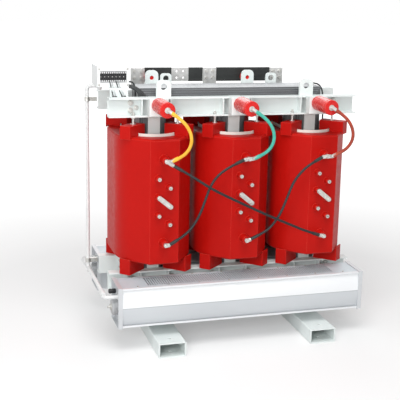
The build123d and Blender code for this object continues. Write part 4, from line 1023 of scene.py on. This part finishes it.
# weld beads along the lifting lugs and round the feet
welds = {"Radius": 0.0032, "Pitch": 0.0034, "Seed": 7}
lugWelds = {
    "lugs": ((0.416, 0.041, -1), (0.322, 0.0328, 1)), "faces": (0.1605, 0.1745), "short": 0.004, "rise": 0.0008,
}
footWelds = {"edge": 0.060, "near": 0.142, "far": 0.193, "toe": 0.197, "toeHalf": 0.056, "rise": 0.001}
weldPaths = []
lugSeam = upFront[1].z + lugWelds["rise"]
footSeam = skidLeft[1].z + footWelds["rise"]
for x, half, side in lugWelds["lugs"]:
    half -= lugWelds["short"]
    for sideX in (-1, 1):
        for y in lugWelds["faces"]:
            weldPaths.append([(sideX * x + end * half, side * y, lugSeam) for end in (-1, 1)])
for x in skidMiddles:
    for side in (-1, 1):
        for edge in (-footWelds["edge"], footWelds["edge"]):
            weldPaths.append([(x + edge, side * y, footSeam) for y in (footWelds["near"], footWelds["far"])])
        weldPaths.append([(x + end * footWelds["toeHalf"], side * footWelds["toe"], footSeam) for end in (-1, 1)])
weldPoints = [point for path in weldPaths for point in path]
weldEdges = [(2 * i, 2 * i + 1) for i in range(len(weldPaths))]
piece = runTree("weldBeads", weldTree, {**welds, "Material": finishes["grey_paint"]}, weldPoints, weldEdges)
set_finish(piece, "grey_paint")
print("weld beads laid")


# small mouldings
def roundedBlock(name, low, high, radius, finish, slot, segments=3):
    xs, ys, zs = zip(low, high)
    corners = [(x, y, z) for x in xs for y in ys for z in zs]
    faces = [(0, 1, 3, 2), (4, 6, 7, 5), (0, 4, 5, 1), (2, 3, 7, 6), (0, 2, 6, 4), (1, 5, 7, 3)]
    mesh = bpy.data.meshes.new(name)
    mesh.from_pydata(corners, [], faces)
    source = bpy.data.objects.new(name + "Block", mesh)
    scene.collection.objects.link(source)
    rounding = source.modifiers.new("rounding", "BEVEL")
    rounding.width = radius
    rounding.segments = segments
    source.data.materials.append(finishes[finish])
    piece = bakedMesh(source, name)
    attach(piece, body)
    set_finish(piece, slot)
    return piece


def joined(name, pieces):
    # several small blocks as one piece
    vertices, faces = [], []
    for piece in pieces:
        base = len(vertices)
        vertices += [vertex.co.copy() for vertex in piece.data.vertices]
        faces += [[base + i for i in polygon.vertices] for polygon in piece.data.polygons]
    mesh = bpy.data.meshes.new(name)
    mesh.from_pydata(vertices, [], faces)
    mesh.materials.append(pieces[0].data.materials[0])
    slot = pieces[0]["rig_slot"]
    for piece in pieces:
        bpy.data.objects.remove(piece)
    whole = bpy.data.objects.new(name, mesh)
    scene.collection.objects.link(whole)
    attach(whole, body)
    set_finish(whole, slot)
    return whole


ferrules = {
    "width": 0.0056, "height": 0.011, "depth": 0.006, "proud": 0.0025, "outside": 0.004, "rounding": 0.0012,
}
ferruleY = stripNode[0].y - ferrules["proud"]
ferruleLevels = {
    "Top": stripNode[1].z + ferrules["outside"] - ferrules["height"], "Foot": stripNode[0].z - ferrules["outside"],
}
ferruleBlocks = []
for index, x in enumerate(wayPlaces):
    for end, z in ferruleLevels.items():
        low = (x - ferrules["width"] / 2, ferruleY, z)
        high = (x + ferrules["width"] / 2, ferruleY + ferrules["depth"], z + ferrules["height"])
        name = "ferrule" + end + str(index)
        ferruleBlocks.append(
            roundedBlock(name, low, high, ferrules["rounding"], "ferruleWhite", "white_box", segments=2))
joined("terminalFerrules", ferruleBlocks)


def turned(name, profile, centre, direction, finish, slot, sides=24):
    # a turned piece: pairs of distance along the axis and radius
    axis = Vector(direction).normalized()
    across = axis.orthogonal().normalized()
    up = axis.cross(across)
    vertices, faces = [], []
    for reach, radius in profile:
        for index in range(sides):
            angle = 2 * math.pi * index / sides
            ring = across * math.cos(angle) + up * math.sin(angle)
            vertices.append(Vector(centre) + axis * reach + ring * radius)
    for row in range(len(profile) - 1):
        near, far = row * sides, (row + 1) * sides
        for index in range(sides):
            after = (index + 1) % sides
            faces.append((near + index, near + after, far + after, far + index))
    faces.append(tuple(range(sides))[::-1])
    faces.append(tuple(range((len(profile) - 1) * sides, len(profile) * sides)))
    mesh = bpy.data.meshes.new(name)
    mesh.from_pydata(vertices, [], faces)
    mesh.materials.append(finishes[finish])
    for polygon in mesh.polygons:
        polygon.use_smooth = len(polygon.vertices) == 4
    mesh.set_sharp_from_angle(angle=math.radians(35))
    piece = bpy.data.objects.new(name, mesh)
    scene.collection.objects.link(piece)
    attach(piece, body)
    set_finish(piece, slot)


# plugs, motor ends, glands and conduit couplings at the left ends of both fans
fanEnds = {
    "fanPlug": {
        "place": (-0.7035, 0.300, 0.322), "axis": (-1, 0, 0), "finish": "blackMoulding", "slot": "black_moulding",
        "profile": [
            (0.0, 0.011), (0.004, 0.0135), (0.020, 0.0135), (0.021, 0.0115), (0.026, 0.0115), (0.027, 0.0135),
            (0.036, 0.0130), (0.040, 0.0095),
        ],
    },
    "motorEnd": {
        "place": (-0.733, 0.329, 0.2419), "axis": (-1, 0, 0), "finish": "plated_steel", "slot": "plated_steel",
        "profile": [
            (0.0, 0.020), (0.003, 0.020), (0.0045, 0.0165), (0.0095, 0.0165), (0.010, 0.006), (0.021, 0.006),
            (0.023, 0.0045),
        ],
    },
    "cableGland": {
        "place": (-0.6945, 0.395, 0.236), "axis": (-1, 0, 0), "finish": "blackMoulding", "slot": "black_moulding",
        "profile": [(0.0, 0.013), (0.004, 0.013), (0.005, 0.0105), (0.011, 0.0100), (0.014, 0.0075)],
    },
    "couplingSide": {
        "place": (-0.775, 0.268, 0.312), "axis": (0, 1, 0), "finish": "whiteConduit", "slot": "white_conduit",
        "profile": [
            (0.0, 0.0115), (0.0, 0.0145), (0.003, 0.0158), (0.072, 0.0158), (0.075, 0.0145), (0.075, 0.0115),
        ],
    },
}
for name, side in (("Front", -1), ("Rear", 1)):
    for kind, part in fanEnds.items():
        centre = flipped([part["place"]], 1, side)[0]
        direction = flipped([part["axis"]], 1, side)[0]
        turned(kind + name, part["profile"], centre, direction, part["finish"], part["slot"])

# grommets where the controller's wires end
grommets = {"half": 0.006, "low": 1.3665, "high": 1.3715, "rounding": 0.002}
grommetBlocks = []
for index, letter in enumerate("ABCD"):
    x, y, z = thinCords["controllerWire" + letter]["route"][-1]
    low = (x - grommets["half"], y - grommets["half"], grommets["low"])
    high = (x + grommets["half"], y + grommets["half"], grommets["high"])
    grommetBlocks.append(
        roundedBlock("grommet" + str(index), low, high, grommets["rounding"], "blackMoulding", "black_moulding"))
joined("wireGrommets", grommetBlocks)
print("mouldings placed")
